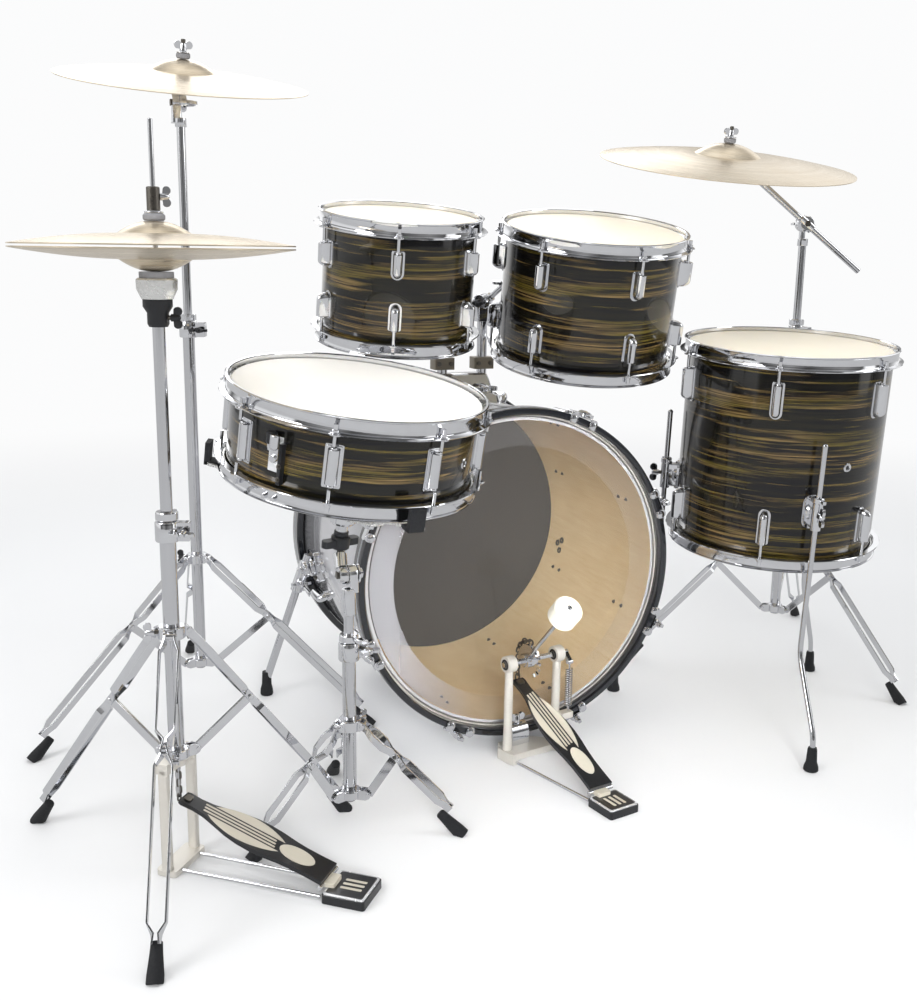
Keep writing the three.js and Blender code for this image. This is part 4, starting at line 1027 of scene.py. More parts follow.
def make_tom_mount():
    y, top = MOUNT["along"], MOUNT["top"]
    levels = [(top - 12, 70, 34), (top + 5, 66, 31), (top + 9, 58, 27), (top + 34, 50, 24),
              (top + 44, 46, 22), (top + 46, 42, 19)]
    corners, faces = [], []
    for z, half_x, half_y in levels:
        corners.extend((x, y + dy, z) for x, dy in round_box(half_x * 2, half_y * 2, 10, 5))
    count = len(corners) // len(levels)
    faces = [(i * count + j, i * count + (j + 1) % count, (i + 1) * count + (j + 1) % count,
              (i + 1) * count + j)
             for i in range(len(levels) - 1) for j in range(count)]
    faces.append(tuple(range((len(levels) - 1) * count, len(levels) * count)))
    parts = [((corners, faces), "chrome")]
    corners = [(x, y + dy) for x in (-60, 60) for dy in (-20, 20)]
    parts += [(moved(screw_head(4), shift(*spot, top + 6)), "steel") for spot in corners]
    knob = Vector((14, y - 22, top + 24))
    parts.append((rod(knob + Vector((0, 10, 0)), knob + Vector((9, -34, -2)), 5), "steel"))
    parts.append((moved(wing_nut(24, 6.5, 8, 20),
                        along(knob + Vector((8, -24, -1)), knob + Vector((12, -60, -3)))), "chrome"))
    for side in (-1, 1):
        x = side * MOUNT["spread"]
        parts.append((rod((x, y, top + 30), (x, y, MOUNT["pivot"] - 20), 9.5, 36), "tube"))
        lock = moved(slab(round_box(40, 30, 4), top + 54, top + 76), shift(x, y))
        parts.append((lock, "satin"))
        for end in (-1, 1):
            bolt = shift(x + end * 12, y - 15, top + 65) @ turned(90, "X")
            parts.append((moved(joined(drum(4.2, 0, 3, 24, 0.5), drum(2.2, 3, 4, 6)), bolt), "steel"))
    for name in BRACKETS:
        centre, _, hinge = bracket_face(name)
        parts += tilter_discs(centre, hinge, 17, 13, -1)
        low = centre - hinge * 6
        parts.append((moved(slab(round_box(24, 26, 5), -34, -8), shift(*low)), "chrome"))
        screw = centre - hinge * 14
        parts.append((moved(wing_nut(18, 5, 6, 16), along(screw, screw - hinge)), "black"))
    piece("tom_mount_parts", "kit", KIT, parts, replaces=["tom_mount"], bevel=0.6)


def make_tom_bracket(name):
    spec, (_, angle) = DRUMS[name], BRACKETS[name]
    centre, reach, hinge = bracket_face(name)
    middle = -spec["depth"] / 2 - 8
    on_wall = outward(angle, spec["radius"], middle)
    plate = slab(round_box(40, 64, 9), -1.5, 3.5)
    boss = slab(round_box(28, 34, 8), 3.5, 19.5)
    bolts = [moved(screw_head(3.6), shift(0, y, 3.5)) for y in (-24, 24)]
    parts = [(moved(plate, on_wall), "chrome"), (moved(boss, on_wall), "chrome"),
             (moved(joined(*bolts), on_wall), "steel")]
    grip = on_wall @ shift(14, 0, 12) @ turned(90, "Y")
    parts.append((moved(drum(3, 0, 10, 14), grip), "steel"))
    parts.append((moved(wing_nut(18, 5, 6, 15), grip @ shift(z=6)), "chrome"))
    piece(f"{name}_bracket", spec["body"], drum_frame(name), parts, bevel=0.5)
    arm = tilter_discs(centre, hinge, 17, 13, 1)
    start, end = centre + hinge * 6.3, centre + hinge * 6.3 + reach * (1 - 2 / reach.length)
    arm.append((rod(start, end, 5.4, 20), "tube"))
    arm.append((rod(start.lerp(end, 0.12), start.lerp(end, 0.3), 8.5, 24), "chrome"))
    piece(f"{name}_arm_parts", spec["body"], KIT, arm, replaces=[f"{name}_arm"], bevel=0.3)


# ------------------------------------------------------------------ floor tom legs

LEG = dict(offset=24, rod=4.75, top=-145, bend=-520, low=-292, high=-238)
FLOOR_LEGS = {"front": (-107, (436, -262)), "right": (29, (748, 133)), "left": (145, (297, 177))}


def make_floor_leg(name):
    angle, foot = FLOOR_LEGS[name]
    r, where = DRUMS["floor_tom"]["radius"], drum_frame("floor_tom")
    middle = (LEG["low"] + LEG["high"]) / 2
    on_wall = outward(angle, r, middle)
    plate = slab(round_box(34, 60, 15, 7), -1.5, 3)
    dome = moved(lathe([(14.5, 0), (14, 4), (11, 7.5), (5, 9), (0, 9.2)], 36), shift(0, 0, 3))
    sleeve = moved(hollow(5.0, 9.0, -26, 26, 30), shift(0, 0, LEG["offset"]) @ turned(-90, "X"))
    web = slab(round_box(13, 46, 4), 3, LEG["offset"] - 4)
    grip = on_wall @ shift(0, 2, LEG["offset"] + 8)
    parts = [(moved(joined(plate, dome, web, sleeve), on_wall), "chrome"),
             (moved(drum(3.4, -2, 16, 16), grip), "steel"),
             (moved(wing_nut(17, 5, 6, 13), grip @ shift(z=5) @ turned(90)), "chrome")]
    parts += [(moved(screw_head(3.2), on_wall @ shift(0, y, 3)), "steel") for y in (-23, 23)]
    piece(f"floor_tom_bracket_{name}", "kit", where, parts, bevel=0.5)
    inverse = KIT.inverted()
    top = inverse @ (where @ Vector(polar(r + LEG["offset"], angle, LEG["top"])))
    bend = inverse @ (where @ Vector(polar(r + LEG["offset"], angle, LEG["bend"])))
    base = Vector((*foot, 0))
    knee = Vector((base.x, base.y, 60))
    path = smooth_path([top, bend, knee, base + Vector((0, 0, 26))], 22)
    leg = swept(path, circle(LEG["rod"], 20), (0.3, 1, 0))
    tip = moved(ball(LEG["rod"] + 0.3), shift(*top))
    lock_at = top.lerp(bend, 0.235)
    lock = moved(lathe([(5, 0), (9, 0), (10, 1.5), (10, 9), (9, 10.5), (5, 10.5)], 30, closed=True),
                 along(lock_at, bend))
    screw = moved(joined(drum(3, 8, 16, 14), slab(round_box(6, 6, 1, 2), 16, 21)),
                  along(lock_at, bend) @ shift(z=5) @ turned(90, "X"))
    rubber = lathe([(0, 0), (11.5, 0), (12.8, 1.5), (12.2, 8), (9.4, 16), (8.2, 38), (7.2, 42), (0, 42)], 32)
    piece(f"floor_tom_rod_{name}", f"floor_tom_leg_{name}", KIT,
          [(leg, "tube"), (tip, "tube"), (lock, "chrome"), (screw, "chrome"),
           (moved(rubber, shift(*base)), "rubber")],
          replaces=[f"floor_tom_leg_{name}"])


# ------------------------------------------------------------------ snare drum's strainer and basket

STRAINER = -141                  # the throw-off's angle on the snare drum
STRAINER_Z = -79


def make_strainer():
    r, where = DRUMS["snare"]["radius"], drum_frame("snare")
    wall = outward(STRAINER, r, STRAINER_Z)
    face = [(-8, 17.4), (4, 17.4), (10, 11), (10, -1.5), (-11, -1.5), (-11, 13)]
    house = moved(slab([(x, -z) for x, z in reversed(face)], -33, 16),
                  turned(180) @ turned(-90, "X") @ turned(180))
    foot = slab(round_box(22, 12, 3), -1.5, 7)
    arm = brick((9.5, -30, 0), (15, 26, 9))
    screws = [moved(screw_head(2.4), wall @ shift(12.5, y, 9)) for y in (-22, -4)]
    knob = wall @ shift(-3, 24, 9) @ turned(-90, "X")
    grip = lathe([(0, 0), (6.5, 0), (7.6, 2), (7, 8), (7.6, 14), (5, 16), (0, 16)], 24)
    parts = [(moved(joined(house, moved(foot, shift(0, 20, 0))), wall), "bright"), (joined(*screws), "steel"),
             (moved(arm, wall), "black"), (moved(grip, knob), "black"),
             (moved(drum(4.4, -9, 0, 20), knob), "chrome")]
    peg = drum(3.6, 0, 7, 20, 0.8)
    parts.append((joined(*[moved(peg, wall @ shift(x, -50, 4.5)) for x in (-8, 8)]), "chrome"))
    piece("snare_strainer", "snare_drum", where, parts, bevel=0.6)
    lever = moved(slab(round_box(12, 34, 5), 16.3, 20), wall @ shift(10.5, 22, 0))
    tip = moved(half_bullet(13, 7, 22, 7), wall @ shift(10.5, 30, 19))
    axle = moved(drum(5.5, 15.9, 23, 24, 1), wall @ shift(10.5, 9, 0))
    piece("snare_lever_parts", "snare_throw_off", where, [(joined(lever, tip, axle), "chrome")],
          replaces=["snare_lever"], bevel=0.6)
    butt = outward(STRAINER + 180, r, STRAINER_Z)
    shape = joined(slab(round_box(24, 60, 4), -1.5, 4),
                   moved(slab(round_box(18, 30, 4), 4, 13), shift(y=-12)))
    screws = [moved(screw_head(2.6), butt @ shift(0, y, 4)) for y in (12, 24)]
    piece("snare_butt_plate", "snare_drum", where,
          [(moved(shape, butt), "aluminium"), (joined(*screws), "steel")], bevel=0.6)
    strands = [rod((i * 2.1, -146, 0), (i * 2.1, 146, 0), 0.9, 8) for i in range(-9, 10)]
    ends = [brick((-21, y - 6, -1.2), (21, y + 6, 0.6)) for y in (-146, 146)]
    place = turned(STRAINER + 90) @ shift(z=7 - 1.2 - DRUMS["snare"]["depth"])
    piece("snare_wire_strands", "snare_drum", where,
          [(moved(joined(*strands, *ends), place), "steel")], replaces=["snare_wires"])


BASKET = dict(angles=(-78, 42, 162), hub=-190, reach=198, bottom=-139.5, joint=(-357, -152, 396))


def make_basket():
    where = drum_frame("snare")
    hub, reach, bottom = (BASKET[k] for k in ("hub", "reach", "bottom"))
    arms, tips = [], []
    for angle in BASKET["angles"]:
        path = smooth_path([(16, 0, hub + 6), (70, 0, hub + 10), (reach - 30, 0, bottom - 9),
                            (reach + 4, 0, bottom - 3.5)], 14)
        bar = swept(path, oblong(19, 4))
        gusset = swept([(14, 0, hub - 12), (96, 0, hub + 12)], oblong(12, 3))
        rivet = moved(drum(4, -11, 11, 18, 1), shift(96, 0, hub + 14) @ turned(90, "X"))
        arms += [moved(shape, turned(angle)) for shape in (bar, gusset, rivet)]
        low = brick((reach - 12, -12, bottom - 6), (reach + 9, 12, bottom - 0.2))
        wall = brick((reach + 1.6, -12, bottom - 6), (reach + 9.5, 12, bottom + 27))
        tips += [moved(low, turned(angle - 2)), moved(wall, turned(angle - 2))]
    centre = joined(lathe([(0, hub - 22), (17, hub - 22), (20, hub - 18), (20, hub - 4), (15, hub + 2),
                           (15, hub + 12),
                           (12, hub + 15), (0, hub + 15)], 40),
                    leg_ring(8, 17, hub - 2, hub + 12, BASKET["angles"], 24, 6))
    wings = joined(slab(round_box(64, 14, 6), hub - 58, hub - 47), drum(14.5, hub - 62, hub - 42, 32, 2))
    bar_nut = joined(moved(wings, turned(20)), drum(11, hub - 42, hub - 34, 28, 1))
    inverse = where.inverted() @ KIT
    joint, inner, outer = (inverse @ (Vector(BASKET["joint"]) - Vector((x, 0, 0))) for x in (8, 0.3, 15))
    foot = Vector((0, 0, hub - 62))
    post = joined(rod((0, 0, hub - 20), foot, 9, 28), rod(foot, joint, 7.6, 28))
    sleeve = rod(foot.lerp(joint, 0.25), foot.lerp(joint, 0.8), 10.2, 32)
    parts = [(joined(*arms), "aluminium"), (joined(*tips), "rubber"), (centre, "chrome"), (bar_nut, "black"),
             (post, "tube"), (sleeve, "chrome")]
    parts += tilter_discs(inner, outer - inner, 14.5, 13, 1)
    piece("snare_basket_parts", "snare_drum", where, parts, replaces=["snare_basket"], bevel=0.5)


def make_snare_stand():
    where = tripod("snare_stand", (20, 30, -70))
    radius, mouth, pivot = (STANDS["snare_stand"][k] for k in ("upper", "mouth", "pivot"))
    sleeve = lathe([(radius, mouth - 40), (radius + 2.8, mouth - 40), (radius + 3.6, mouth - 38),
                    (radius + 3.6, mouth - 10), (radius + 2.2, mouth), (radius, mouth)], 40, closed=True)
    parts = [(upper_tube("snare_stand"), "tube"), (sleeve, "chrome")]
    parts += tilter_discs((0, 8, pivot), (1, 0, 0), 15, 15, 1)
    cap = lathe([(15, 0), (14.4, 3), (9, 4.2), (8, 5), (7.4, 8), (4, 9.6), (0, 10)], 36)
    parts.append((moved(cap, shift(15, 8, pivot) @ turned(90, "Y")), "chrome"))
    parts.append((moved(slab(round_box(14, 20, 4), -26, -4), shift(8, 4, pivot)), "chrome"))
    piece("snare_post_parts", "snare_post", where, parts, replaces=["snare_stand_tube"], bevel=0.4)


# ------------------------------------------------------------------ hi-hat

HIHAT = dict(radius=178, edge=867, gap=2.6, top=1022, seat=800)
HIHAT_YAW = 50


def make_hihat():
    frame_posts = [moved(slab(round_box(10, 15, 3), 4, 160), shift(x, 0)) for x in (-35, 35)]
    yoke = joined(brick((-40, -9, 154), (-10, 9, 170)), brick((10, -9, 154), (40, 9, 170)),
                  hollow(8.5, 13, 154, 170, 32))
    sole = slab(round_box(82, 32, 6), 0.5, 9)
    radius_rods = [rod((x, -12, 5), (x * 0.95, -229, 6), 2.6, 12) for x in (-24, 24)]
    chain = [moved(link(), shift(0, -1, 104 + 11 * i) @ turned(90 * (i % 2))) for i in range(5)]
    extra = [(moved(shape, turned(HIHAT_YAW)), finish) for shape, finish in
             [(joined(*frame_posts), "cast"), (yoke, "cast"), (sole, "cast"),
              (joined(*radius_rods), "chrome")]]
    where = tripod("hihat_stand", (-20, 170, 60), extra=extra)
    edge, gap, seat = HIHAT["edge"], HIHAT["gap"], HIHAT["seat"]
    dish, peak = cymbal_shape(HIHAT["radius"], 6.8)
    under_peak = edge - gap - peak - 1.8
    tube = upper_tube("hihat_stand")
    black_cup = lathe([(6.6, 764), (12, 764), (14, 768), (14, 782), (19, 790), (19, 799), (6.6, 799)], 40,
                      closed=True)
    cone = lathe([(7, 799.4), (20, 799.4), (26, 812), (26.5, under_peak - 10), (24, under_peak - 8),
                  (7, under_peak - 8)],
                 48, closed=True)
    pad = hollow(7, 22, under_peak - 7.8, under_peak - 0.2, 40)
    screw = shift(0, 0, 776) @ turned(-30) @ shift(13) @ turned(90, "Y")
    parts = [(tube, "tube"), (black_cup, "black"), (cone, "aluminium"), (pad, "grey_felt"),
             (moved(drum(3, 0, 10, 14), screw), "steel"),
             (moved(wing_nut(14, 4, 5, 12), screw @ shift(z=5)), "black")]
    piece("hihat_tube_parts", "kit", where, parts, replaces=["hihat_tube"], bevel=0.3)
    lower = moved(dish, turned(180, "X"))
    piece("hihat_lower_dish", "kit", where @ shift(z=edge - gap), [(lower, "bronze")],
          replaces=["hihat_bottom_cymbal"])
    piece("hihat_upper_dish", "hihat_pull_rod", where @ shift(z=edge), [(dish, "bronze")],
          replaces=["hihat_top_cymbal"])
    above, below = edge + peak + 1.9, edge + peak - 0.4
    clutch = [
        (drum(3.3, 103, HIHAT["top"], 20, 1), "tube"), (drum(14, above, above + 9, 36, 2.2), "grey_felt"),
        (drum(12, above + 9.2, above + 12, 32, 0.6), "chrome"),
        (drum(8.5, above + 12, above + 42, 32, 1.2), "steel"),
        (drum(12.5, below - 10, below - 1, 36, 2.2), "grey_felt"),
        (drum(9, below - 15, below - 10, 32, 0.8), "chrome"),
        (moved(wing_nut(13, 4, 5, 12), shift(8, 0, above + 30) @ turned(90, "Y")), "chrome"),
        (joined(*[moved(shape, turned(HIHAT_YAW)) for shape in chain]), "steel"),
    ]
    piece("hihat_rod_parts", "hihat_pull_rod", where, clutch, replaces=["hihat_rod"], bevel=0.2)


# ------------------------------------------------------------------ crash and ride

CRASH = dict(radius=216, edge=(-484, 397, 1145), axis=(0.0092, -0.2244, 0.9744), joint=(-496, 375, 1107))
RIDE = dict(radius=254, edge=(571, 294, 1040), axis=(-0.0261, -0.208, 0.9778))
BOOM = dict(direction=(-0.749, 0.233, 0.621), reach=150, offset=12, knuckle=8)


def cymbal_pieces(name, spec, stem_foot, tilt_parts):
    where = tilted(spec["edge"], spec["axis"])
    dish, peak = cymbal_shape(spec["radius"], 7.3)
    piece(f"{name}_dish_parts", f"{name}_dish", where, [(dish, "bronze")],
          replaces=[f"{name}_cymbal"])
    inverse = where.inverted() @ KIT
    parts = cymbal_top(peak) + [(moved(shape, inverse), finish) for shape, finish in tilt_parts]
    parts.append((rod((0, 0, peak - 24), (0, 0, -stem_foot), 4.2, 20), "chrome"))
    parts.append((moved(ball(6.5), shift(z=-stem_foot)), "chrome"))
    piece(f"{name}_tilter_parts", f"{name}_tilt", where, parts, replaces=[f"{name}_tilter"],
          bevel=0.25)


def cymbal_post(name):
    """A cymbal stand's upper tube, and the collar at its mouth below the tilter."""
    radius, mouth = STANDS[name]["upper"], STANDS[name]["mouth"]
    collar = lathe([(radius - 0.6, mouth - 14), (radius + 2, mouth - 14), (radius + 2.6, mouth - 12),
                    (radius + 2.6, mouth), (radius - 0.6, mouth + 1)], 36, closed=True)
    return [(upper_tube(name, 44), "tube"), (collar, "chrome")]


def make_crash():
    where = tripod("crash_stand", (-25, 150, -100), "black")
    joint = Vector(CRASH["joint"])
    local = joint - Vector((*STANDS["crash_stand"]["centre"], 0))
    neck = moved(slab(round_box(18, 22, 5), -34, -6), shift(-6, local.y - 6, joint.z))
    parts = [*cymbal_post("crash_stand"), (neck, "chrome")]
    parts += tilter_discs(local, (1, 0, 0), 15, 12, -1)
    piece("crash_post_parts", "crash_post", where, parts, replaces=["crash_tube"], bevel=0.4)
    lowest = Vector(CRASH["edge"]) - Vector(CRASH["axis"]).normalized() * 30
    arm = tilter_discs(joint, (1, 0, 0), 15, 12, 1)
    arm.append((rod(joint + Vector((6, 0, 0)), lowest, 5.2, 20), "chrome"))
    side = joint + Vector((13, 0, 0))
    arm.append((moved(wing_nut(17, 5, 6, 15), along(side, side + Vector((1, 0, 0)))), "chrome"))
    cymbal_pieces("crash", CRASH, 30, arm)


def make_ride():
    where = tripod("ride_stand", (-70, 10, -120))
    pivot = Vector((0, 0, STANDS["ride_stand"]["pivot"]))
    joint = Vector((*STANDS["ride_stand"]["centre"], pivot.z))
    direction = Vector(BOOM["direction"]).normalized()
    line = UP.cross(direction).normalized()
    parts = cymbal_post("ride_stand")
    parts += tilter_discs(pivot, line, 16, 13, -1)
    neck = pivot - line * 6.3
    parts.append((rod(neck + Vector((0, 0, -34)), neck, 6.4, 20), "chrome"))
    grip = pivot - line * 13
    parts.append((moved(wing_nut(18, 5, 6, 16), along(grip, grip - line)), "chrome"))
    piece("ride_post_parts", "ride_post", where, parts, replaces=["ride_tube"], bevel=0.4)
    boom_axis = joint + line * BOOM["offset"]
    low, end = boom_axis - direction * BOOM["reach"], boom_axis + direction * BOOM["reach"]
    knuckle = end + Vector((0, BOOM["knuckle"], 0))
    boom = tilter_discs(joint, line, 16, 20, 1)
    sleeve = rod(boom_axis - direction * 16, boom_axis + direction * 16, 10.5, 28)
    boom += [(rod(low, end, 6.2, 28), "tube"), (sleeve, "chrome")]
    boom += tilter_discs(knuckle, (0, -1, 0), 12.5, 12, 1)
    piece("ride_boom_parts", "ride_arm", KIT, boom, replaces=["ride_boom"], bevel=0.4)
    lowest = Vector(RIDE["edge"]) - Vector(RIDE["axis"]).normalized() * 12
    arm = tilter_discs(knuckle, (0, 1, 0), 12.5, 12, 1)
    arm.append((rod(knuckle + Vector((0, 6, 0)), lowest, 5.2, 20), "chrome"))
    back = knuckle + Vector((0, 13, 0))
    arm.append((moved(wing_nut(14, 4, 5, 13), along(back, back + Vector((0, 1, 0)))), "chrome"))
    cymbal_pieces("ride", RIDE, 12, arm)


# ------------------------------------------------------------------ pedals

def link(length=13.0, width=8.0, wire=1.3):
    """One chain link standing along Z."""
    half, bend = length / 2 - width / 2, width / 2
    path = arc_path((0, 0, half), bend, 0, 180, 8, "XZ") + arc_path((0, 0, -half), bend, 180, 360, 8, "XZ")
    path.append(path[0])
    return swept(path, circle(wire, 8), (0, 1, 0))


PEDALS = {
    "hihat": dict(where=KIT @ shift(-618, -190) @ turned(HIHAT_YAW), centre=3, hinge=232, hinge_z=22,
                  toe=4, toe_z=98,
                  heel_end=296, width=66, board="hihat_pedal", nodes=("hihat_footboard", "hihat_heel_plate")),
    "pedal": dict(where=KIT @ shift(2, -37) @ turned(11), centre=0, hinge=203, hinge_z=22, toe=-34, toe_z=126,
                  heel_end=262, width=58, board="bass_pedal", nodes=("pedal_footboard", "pedal_heel_plate")),
}
BOARD_WIDTHS = [(0, 0.36), (0.02, 0.42), (0.1, 0.38), (0.18, 0.44), (0.27, 0.64), (0.36, 0.85), (0.45, 0.97),
                (0.54, 1.0), (0.63, 0.94), (0.72, 0.83), (0.8, 0.77), (0.9, 0.76), (1, 0.78)]
STRIPE, STRIPE_PITCH = 3.3, 6.6
BOARD_TOP, PAD_TOP = 6.5, 7.0    # above the board's lower face
LEAF = (0.2, 0.68)


def board_outline(half, length):
    edge = [(half * w, length * (1 - t)) for t, w in BOARD_WIDTHS]
    outline = [(-x, y) for x, y in reversed(edge)] + edge
    return anticlockwise(outline)


def leaf_pad(half, length, side):
    """A cream pad with a straight inner edge and a bowed outer one that meet in two points."""
    start, end = LEAF
    steps = 16
    inner = 2 * STRIPE_PITCH - STRIPE / 2
    bow = [(inner + (half - 3.6 - inner) * math.sin(math.pi * i / steps) ** 0.8,
            start + (end - start) * i / steps)
           for i in range(steps + 1)]
    return slab(anticlockwise([(side * x, length * (1 - t)) for x, t in bow]), BOARD_TOP, PAD_TOP)


def make_pedal_boards(name):
    spec = PEDALS[name]
    half, centre = spec["width"] / 2, spec["centre"]
    run, rise = spec["hinge"] - spec["toe"] - 3, spec["toe_z"] - spec["hinge_z"]
    length = math.hypot(run, rise)
    slope = math.degrees(math.asin(rise / length))
    lie = shift(centre, -spec["hinge"] + 3, spec["hinge_z"]) @ turned(slope, "X")
    pads = [leaf_pad(half, length, side) for side in (-1, 1)]
    stripe = round_box(STRIPE, length * 0.49, STRIPE / 2, 4)
    for i in (-1, 0, 1):
        pads.append(moved(slab(stripe, BOARD_TOP, PAD_TOP),
                          shift(i * STRIPE_PITCH, length * (0.605 + 0.008 * i))))
    toe_pad = [(0.46 * half * math.cos(turn), length * (0.215 + 0.115 * math.sin(turn)))
               for turn in (TAU * i / 40 for i in range(40))]
    pads.append(slab(toe_pad, BOARD_TOP, PAD_TOP + 0.7))
    parts = [(moved(slab(board_outline(half, length), 0.5, BOARD_TOP), lie), "enamel"),
             (moved(joined(*pads), lie), "cream")]
    parts.append((moved(slab(round_box(14, 11, 3), 6.4, 8.5), lie @ shift(y=length - 9)), "steel"))
    piece(f"{name}_board_parts", spec["board"], spec["where"], parts,
          replaces=[spec["nodes"][0]], bevel=0.5)
    heel_length = spec["heel_end"] - spec["hinge"] - 1
    place = shift(centre, -(spec["heel_end"] + spec["hinge"] + 1) / 2)
    width = spec["width"]
    heel = moved(slab(round_box(width, heel_length, 4), 0.5, 13), place)
    band = moved(slab(round_box(width - 3, heel_length - 3, 4), 13, 15.4), place)
    top = moved(slab(round_box(width - 9, heel_length - 9, 3), 15.4, 16), place)
    bar = slab(round_box(5, heel_length * 0.5, 1.6, 3), 16, 16.5)
    bars = [moved(bar, place @ shift(10 * i, -3)) for i in (-1, 0, 1)]
    hinge = slab(round_box(width * 0.42, 17, 3), 15.4, 22)
    pin = moved(drum(3.4, -half + 4, half - 4, 20, 0.6),
                shift(centre, -spec["hinge"] + 3, spec["hinge_z"] - 3) @ turned(90, "Y"))
    piece(f"{name}_heel_parts", "kit", spec["where"],
          [(joined(heel, top), "enamel"), (joined(moved(bar, place @ shift(z=-4)), *bars), "cream"),
           (band, "bright"),
           (moved(hinge, shift(centre - 3, -spec["hinge"] - 5)), "cream"), (pin, "chrome")],
          replaces=[spec["nodes"][1]], bevel=0.6)


PEDAL = dict(axle=177, posts=(-42, 60.5), cam=30, lean=42, reach=169, felt=(25, 34), beater_x=-6, crank=20,
             crank_x=78, anchor=72, hinge=203, toe_z=126)


def make_bass_pedal():
    where = PEDALS["pedal"]["where"]
    axle, (left, right) = PEDAL["axle"], PEDAL["posts"]
    cast, chrome, steel, black = [], [], [], []
    for x in (left, right):
        cast.append(swept([(x, 0, 14), (x, 0, 60), (x, 0, axle - 9)], circle(7.6, 28), (0, 1, 0),
                          [1.12, 1.0, 0.94]))
        spot = shift(x, 0, axle) @ turned(90, "Y")
        cast.append(moved(lathe([(6, -9), (13.5, -9), (14.5, -8), (14.5, 8), (13.5, 9), (6, 9)], 40,
                                closed=True), spot))
        black.append(moved(hollow(6.2, 9.6, -9.6, 9.6, 32), spot))
        steel.append(moved(hollow(4.8, 6.2, -9.9, 9.9, 28), spot))
        chrome.append(rod((x, -10, 6), (math.copysign(22, x), -PEDAL["hinge"] + 3, 6), 2.6, 12))
    toe = [(11, 14), (-11, 14), (-10, -14), (-6, -26), (6, -26), (10, -14)]
    cast += [moved(slab(toe[::-1], 1, 21), shift(x)) for x in (left, right)]
    cast.append(slab([(left, -12), (right, -12), (right, 14), (30, 46), (-30, 46), (left, 14)], 1, 13))
    jaw = [(0, 19, 13), (0, 19.4, 34), (0, 22, 42), (0, 28, 47), (0, 36, 48.5), (0, 46, 48.5)]
    chrome.append(swept(jaw, oblong(3.4, 36), (1, 0, 0)))
    chrome.append(moved(joined(drum(4, 0, 10, 20), wing_nut(17, 5, 6, 14)), shift(0, 32, 50)))
    cast += [brick((right, -22, 60), (84, -6, 71.5)), brick((right - 6, -20, 16), (right + 7, -2, 70))]
    piece("pedal_frame_parts", "kit", where,
          [(joined(*cast), "cast"), (joined(*chrome), "chrome"), (joined(*steel), "steel"),
           (joined(*black), "black")],
          replaces=["pedal_frame"], bevel=0.8)
    lean = math.radians(PEDAL["lean"])
    out = Vector((0, -math.sin(lean), math.cos(lean)))
    root = Vector((PEDAL["beater_x"], 0, axle))
    pin = Vector((PEDAL["crank_x"], -PEDAL["crank"] * math.sqrt(0.5), axle - PEDAL["crank"] * math.sqrt(0.5)))
    shaft = moved(drum(5, left - 12, PEDAL["crank_x"] + 5, 6), shift(0, 0, axle) @ turned(90, "Y"))
    reach = PEDAL["cam"] - 3
    rim = [polar(reach, a)[:2] for a in range(70, 241, 10)]
    sector = slab(anticlockwise([(4, -4)] + rim), -4, 4)
    teeth = [moved(brick((-reach - 4.5, -2.2, -2), (-reach + 2, 2.2, 2)),
                   turned(a - 90)) for a in range(100, 241, 20)]
    cam = moved(joined(sector, *teeth), shift(0, 0, axle) @ turned(90, "Y"))
    hub = moved(drum(11, -14, 12, 32, 1), shift(0, 0, axle) @ turned(90, "Y"))
    grip = moved(slab(round_box(18, 30, 5), -7, 7), shift(*root) @ turned(90, "Y"))
    stem = rod(root - out * 14, root + out * (PEDAL["reach"] - 4), 3.4, 20)
    felt_at = along(root + out * (PEDAL["reach"] - PEDAL["felt"][1]), root + out * PEDAL["reach"])
    radius, height = PEDAL["felt"]
    head = moved(lathe([(0, 0), (radius - 3, 0), (radius, 3), (radius, height - 4), (radius - 3, height),
                        (0, height)], 56), felt_at)
    cap = moved(joined(drum(4.6, height, height + 1.2, 32, 0.4), drum(2.8, height + 1.2, height + 3, 6)),
                felt_at)
    arm = swept([Vector((PEDAL["crank_x"], 0, axle)), pin], oblong(8, 8), (1, 0, 0))
    pivot = moved(drum(4.2, -6, 6, 18, 0.8), shift(*pin) @ turned(90, "Y"))
    screw = moved(joined(drum(3, 0, 12, 14), slab(round_box(6, 6, 1, 2), 12, 17)),
                  shift(*root) @ turned(180) @ turned(90, "Y"))
    piece("pedal_axle_parts", "beater", where,
          [(joined(shaft, hub, grip, stem, arm, pivot, screw), "chrome"), (cam, "chrome"), (head, "felt"),
           (cap, "chrome")],
          replaces=["pedal_axle"], bevel=0.4)
    y = PEDAL["cam"] + 3
    one = link(12, 8, 1.5)
    links = [moved(one, shift(0, y, PEDAL["toe_z"] + 9 + 9 * i) @ turned(90 * (i % 2))) for i in range(5)]
    over_cam = [moved(one, shift(0, 0, axle) @ turned(a, "X") @ shift(0, y, 0) @ turned(90 * (i % 2)))
                for i, a in enumerate(range(16, 100, 16))]
    piece("pedal_chain_links", "kit", where, [(joined(*links), "steel")],
          replaces=["pedal_chain"])
    piece("pedal_chain_wrap", "beater", where, [(joined(*over_cam), "steel")])
    coil = spiral(5.6, 1.1, PEDAL["anchor"] + 8, pin.z - 13, 17)
    hooks = joined(rod((0, 0, PEDAL["anchor"]), (0, 0, PEDAL["anchor"] + 9), 1.8),
                   rod((0, 0, pin.z - 14), (0, 0, pin.z - 4), 1.6))
    piece("pedal_spring_coil", "kit", where,
          [(moved(joined(coil, hooks), shift(pin.x, pin.y)), "tube")],
          replaces=["pedal_spring"])


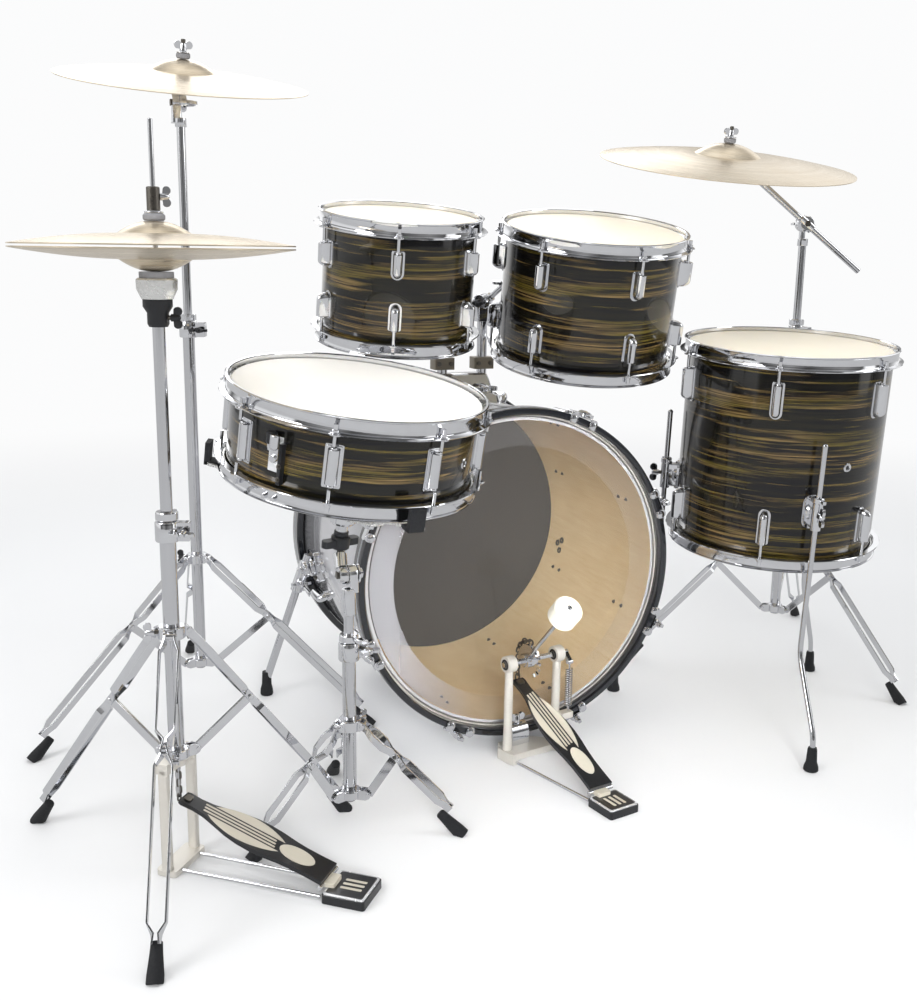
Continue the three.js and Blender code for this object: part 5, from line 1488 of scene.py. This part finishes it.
def add_floor():
    mesh = bpy.data.meshes.new("floor")
    reach, low = 14.0, -0.0005
    mesh.from_pydata([(-reach, -reach, low), (reach, -reach, low), (reach, reach, low),
                      (-reach, reach, low)], [],
                     [(0, 1, 2, 3)])
    made = bpy.data.materials.new("pale_floor")
    tree = node_tree(made)
    position = node(tree, "ShaderNodeTexCoord").outputs["Object"]
    cloud = noise(tree, position, 0.8, 3, 0.5)
    shader = node(tree, "ShaderNodeBsdfPrincipled", {"Roughness": 0.7})
    tree.links.new(mixed(tree, cloud, (0.8, 0.805, 0.81, 1), (0.84, 0.845, 0.85, 1)),
                   shader.inputs["Base Color"])
    away = node(tree, "ShaderNodeVectorMath", {0: position}, operation="LENGTH").outputs["Value"]
    fade = node(tree, "ShaderNodeMapRange", {"Value": away, 1: 1.4, 2: 4.0}, interpolation_type="SMOOTHSTEP")
    glow = node(tree, "ShaderNodeEmission", {"Color": BACKDROP})
    pale = node(tree, "ShaderNodeMixShader", {0: fade.outputs[0], 1: shader.outputs[0], 2: glow.outputs[0]})
    carpet = node(tree, "ShaderNodeEmission", {"Color": (0.5, 0.5, 0.505, 1)})
    path = node(tree, "ShaderNodeLightPath")
    part = node(tree, "ShaderNodeMath", {0: path.outputs["Is Glossy Ray"], 1: 0.8}, operation="MULTIPLY")
    blend = node(tree, "ShaderNodeMixShader", {0: part.outputs[0], 1: pale.outputs[0], 2: carpet.outputs[0]})
    node(tree, "ShaderNodeOutputMaterial", {"Surface": blend.outputs[0]})
    mesh.materials.append(made)
    floor = bpy.data.objects.new("floor", mesh)
    bpy.context.scene.collection.objects.link(floor)


def add_lights():
    middle = (0, 0, 0.5)
    softbox("key", (-3.4, -1.2, 2.6), middle, (1.6, 2.4), 60)
    softbox("fill", (3.4, -1.8, 2.4), middle, (1.2, 2.4), 25)
    softbox("back", (0.6, 3.6, 3.0), middle, (4.0, 1.2), 30)
    softbox("top", (0, 0, 4.2), middle, (3.5, 3.5), 50, mirrored=False)
    softbox("front", (-1.0, -4.0, 1.7), (0.1, 0, 0.35), (3.0, 2.0), 80, mirrored=False)
    softbox("low", (-0.7, -2.6, 1.0), (0.0, 0.1, 0.3), (0.7, 0.7), 3.5, mirrored=False, spread=0.5)


def make_kit():
    for name in ("tom1", "tom2", "floor_tom"):
        make_drum(name, lug_pair(DRUMS[name]), "cream_head")
    spec = DRUMS["snare"]
    lugs = [moved(snare_lug(), outward(a, spec["radius"], -spec["depth"] / 2)) for a in lug_angles(spec)]
    make_drum("snare", lugs, "white_head")
    grommet("snare_vent", "snare", -47, -72)
    grommet("floor_tom_vent", "floor_tom", -88, -190)
    make_strainer()
    make_basket()
    make_snare_stand()
    make_bass_drum()
    make_spur("left", -1)
    make_spur("right", 1)
    make_tom_mount()
    for name in BRACKETS:
        make_tom_bracket(name)
    for name in FLOOR_LEGS:
        make_floor_leg(name)
    make_hihat()
    make_crash()
    make_ride()
    for name in PEDALS:
        make_pedal_boards(name)
    make_bass_pedal()


add_camera()
add_world()
add_lights()
add_floor()
bpy.context.scene.view_settings.view_transform = "Standard"
FINISH.update(finishes())
make_kit()
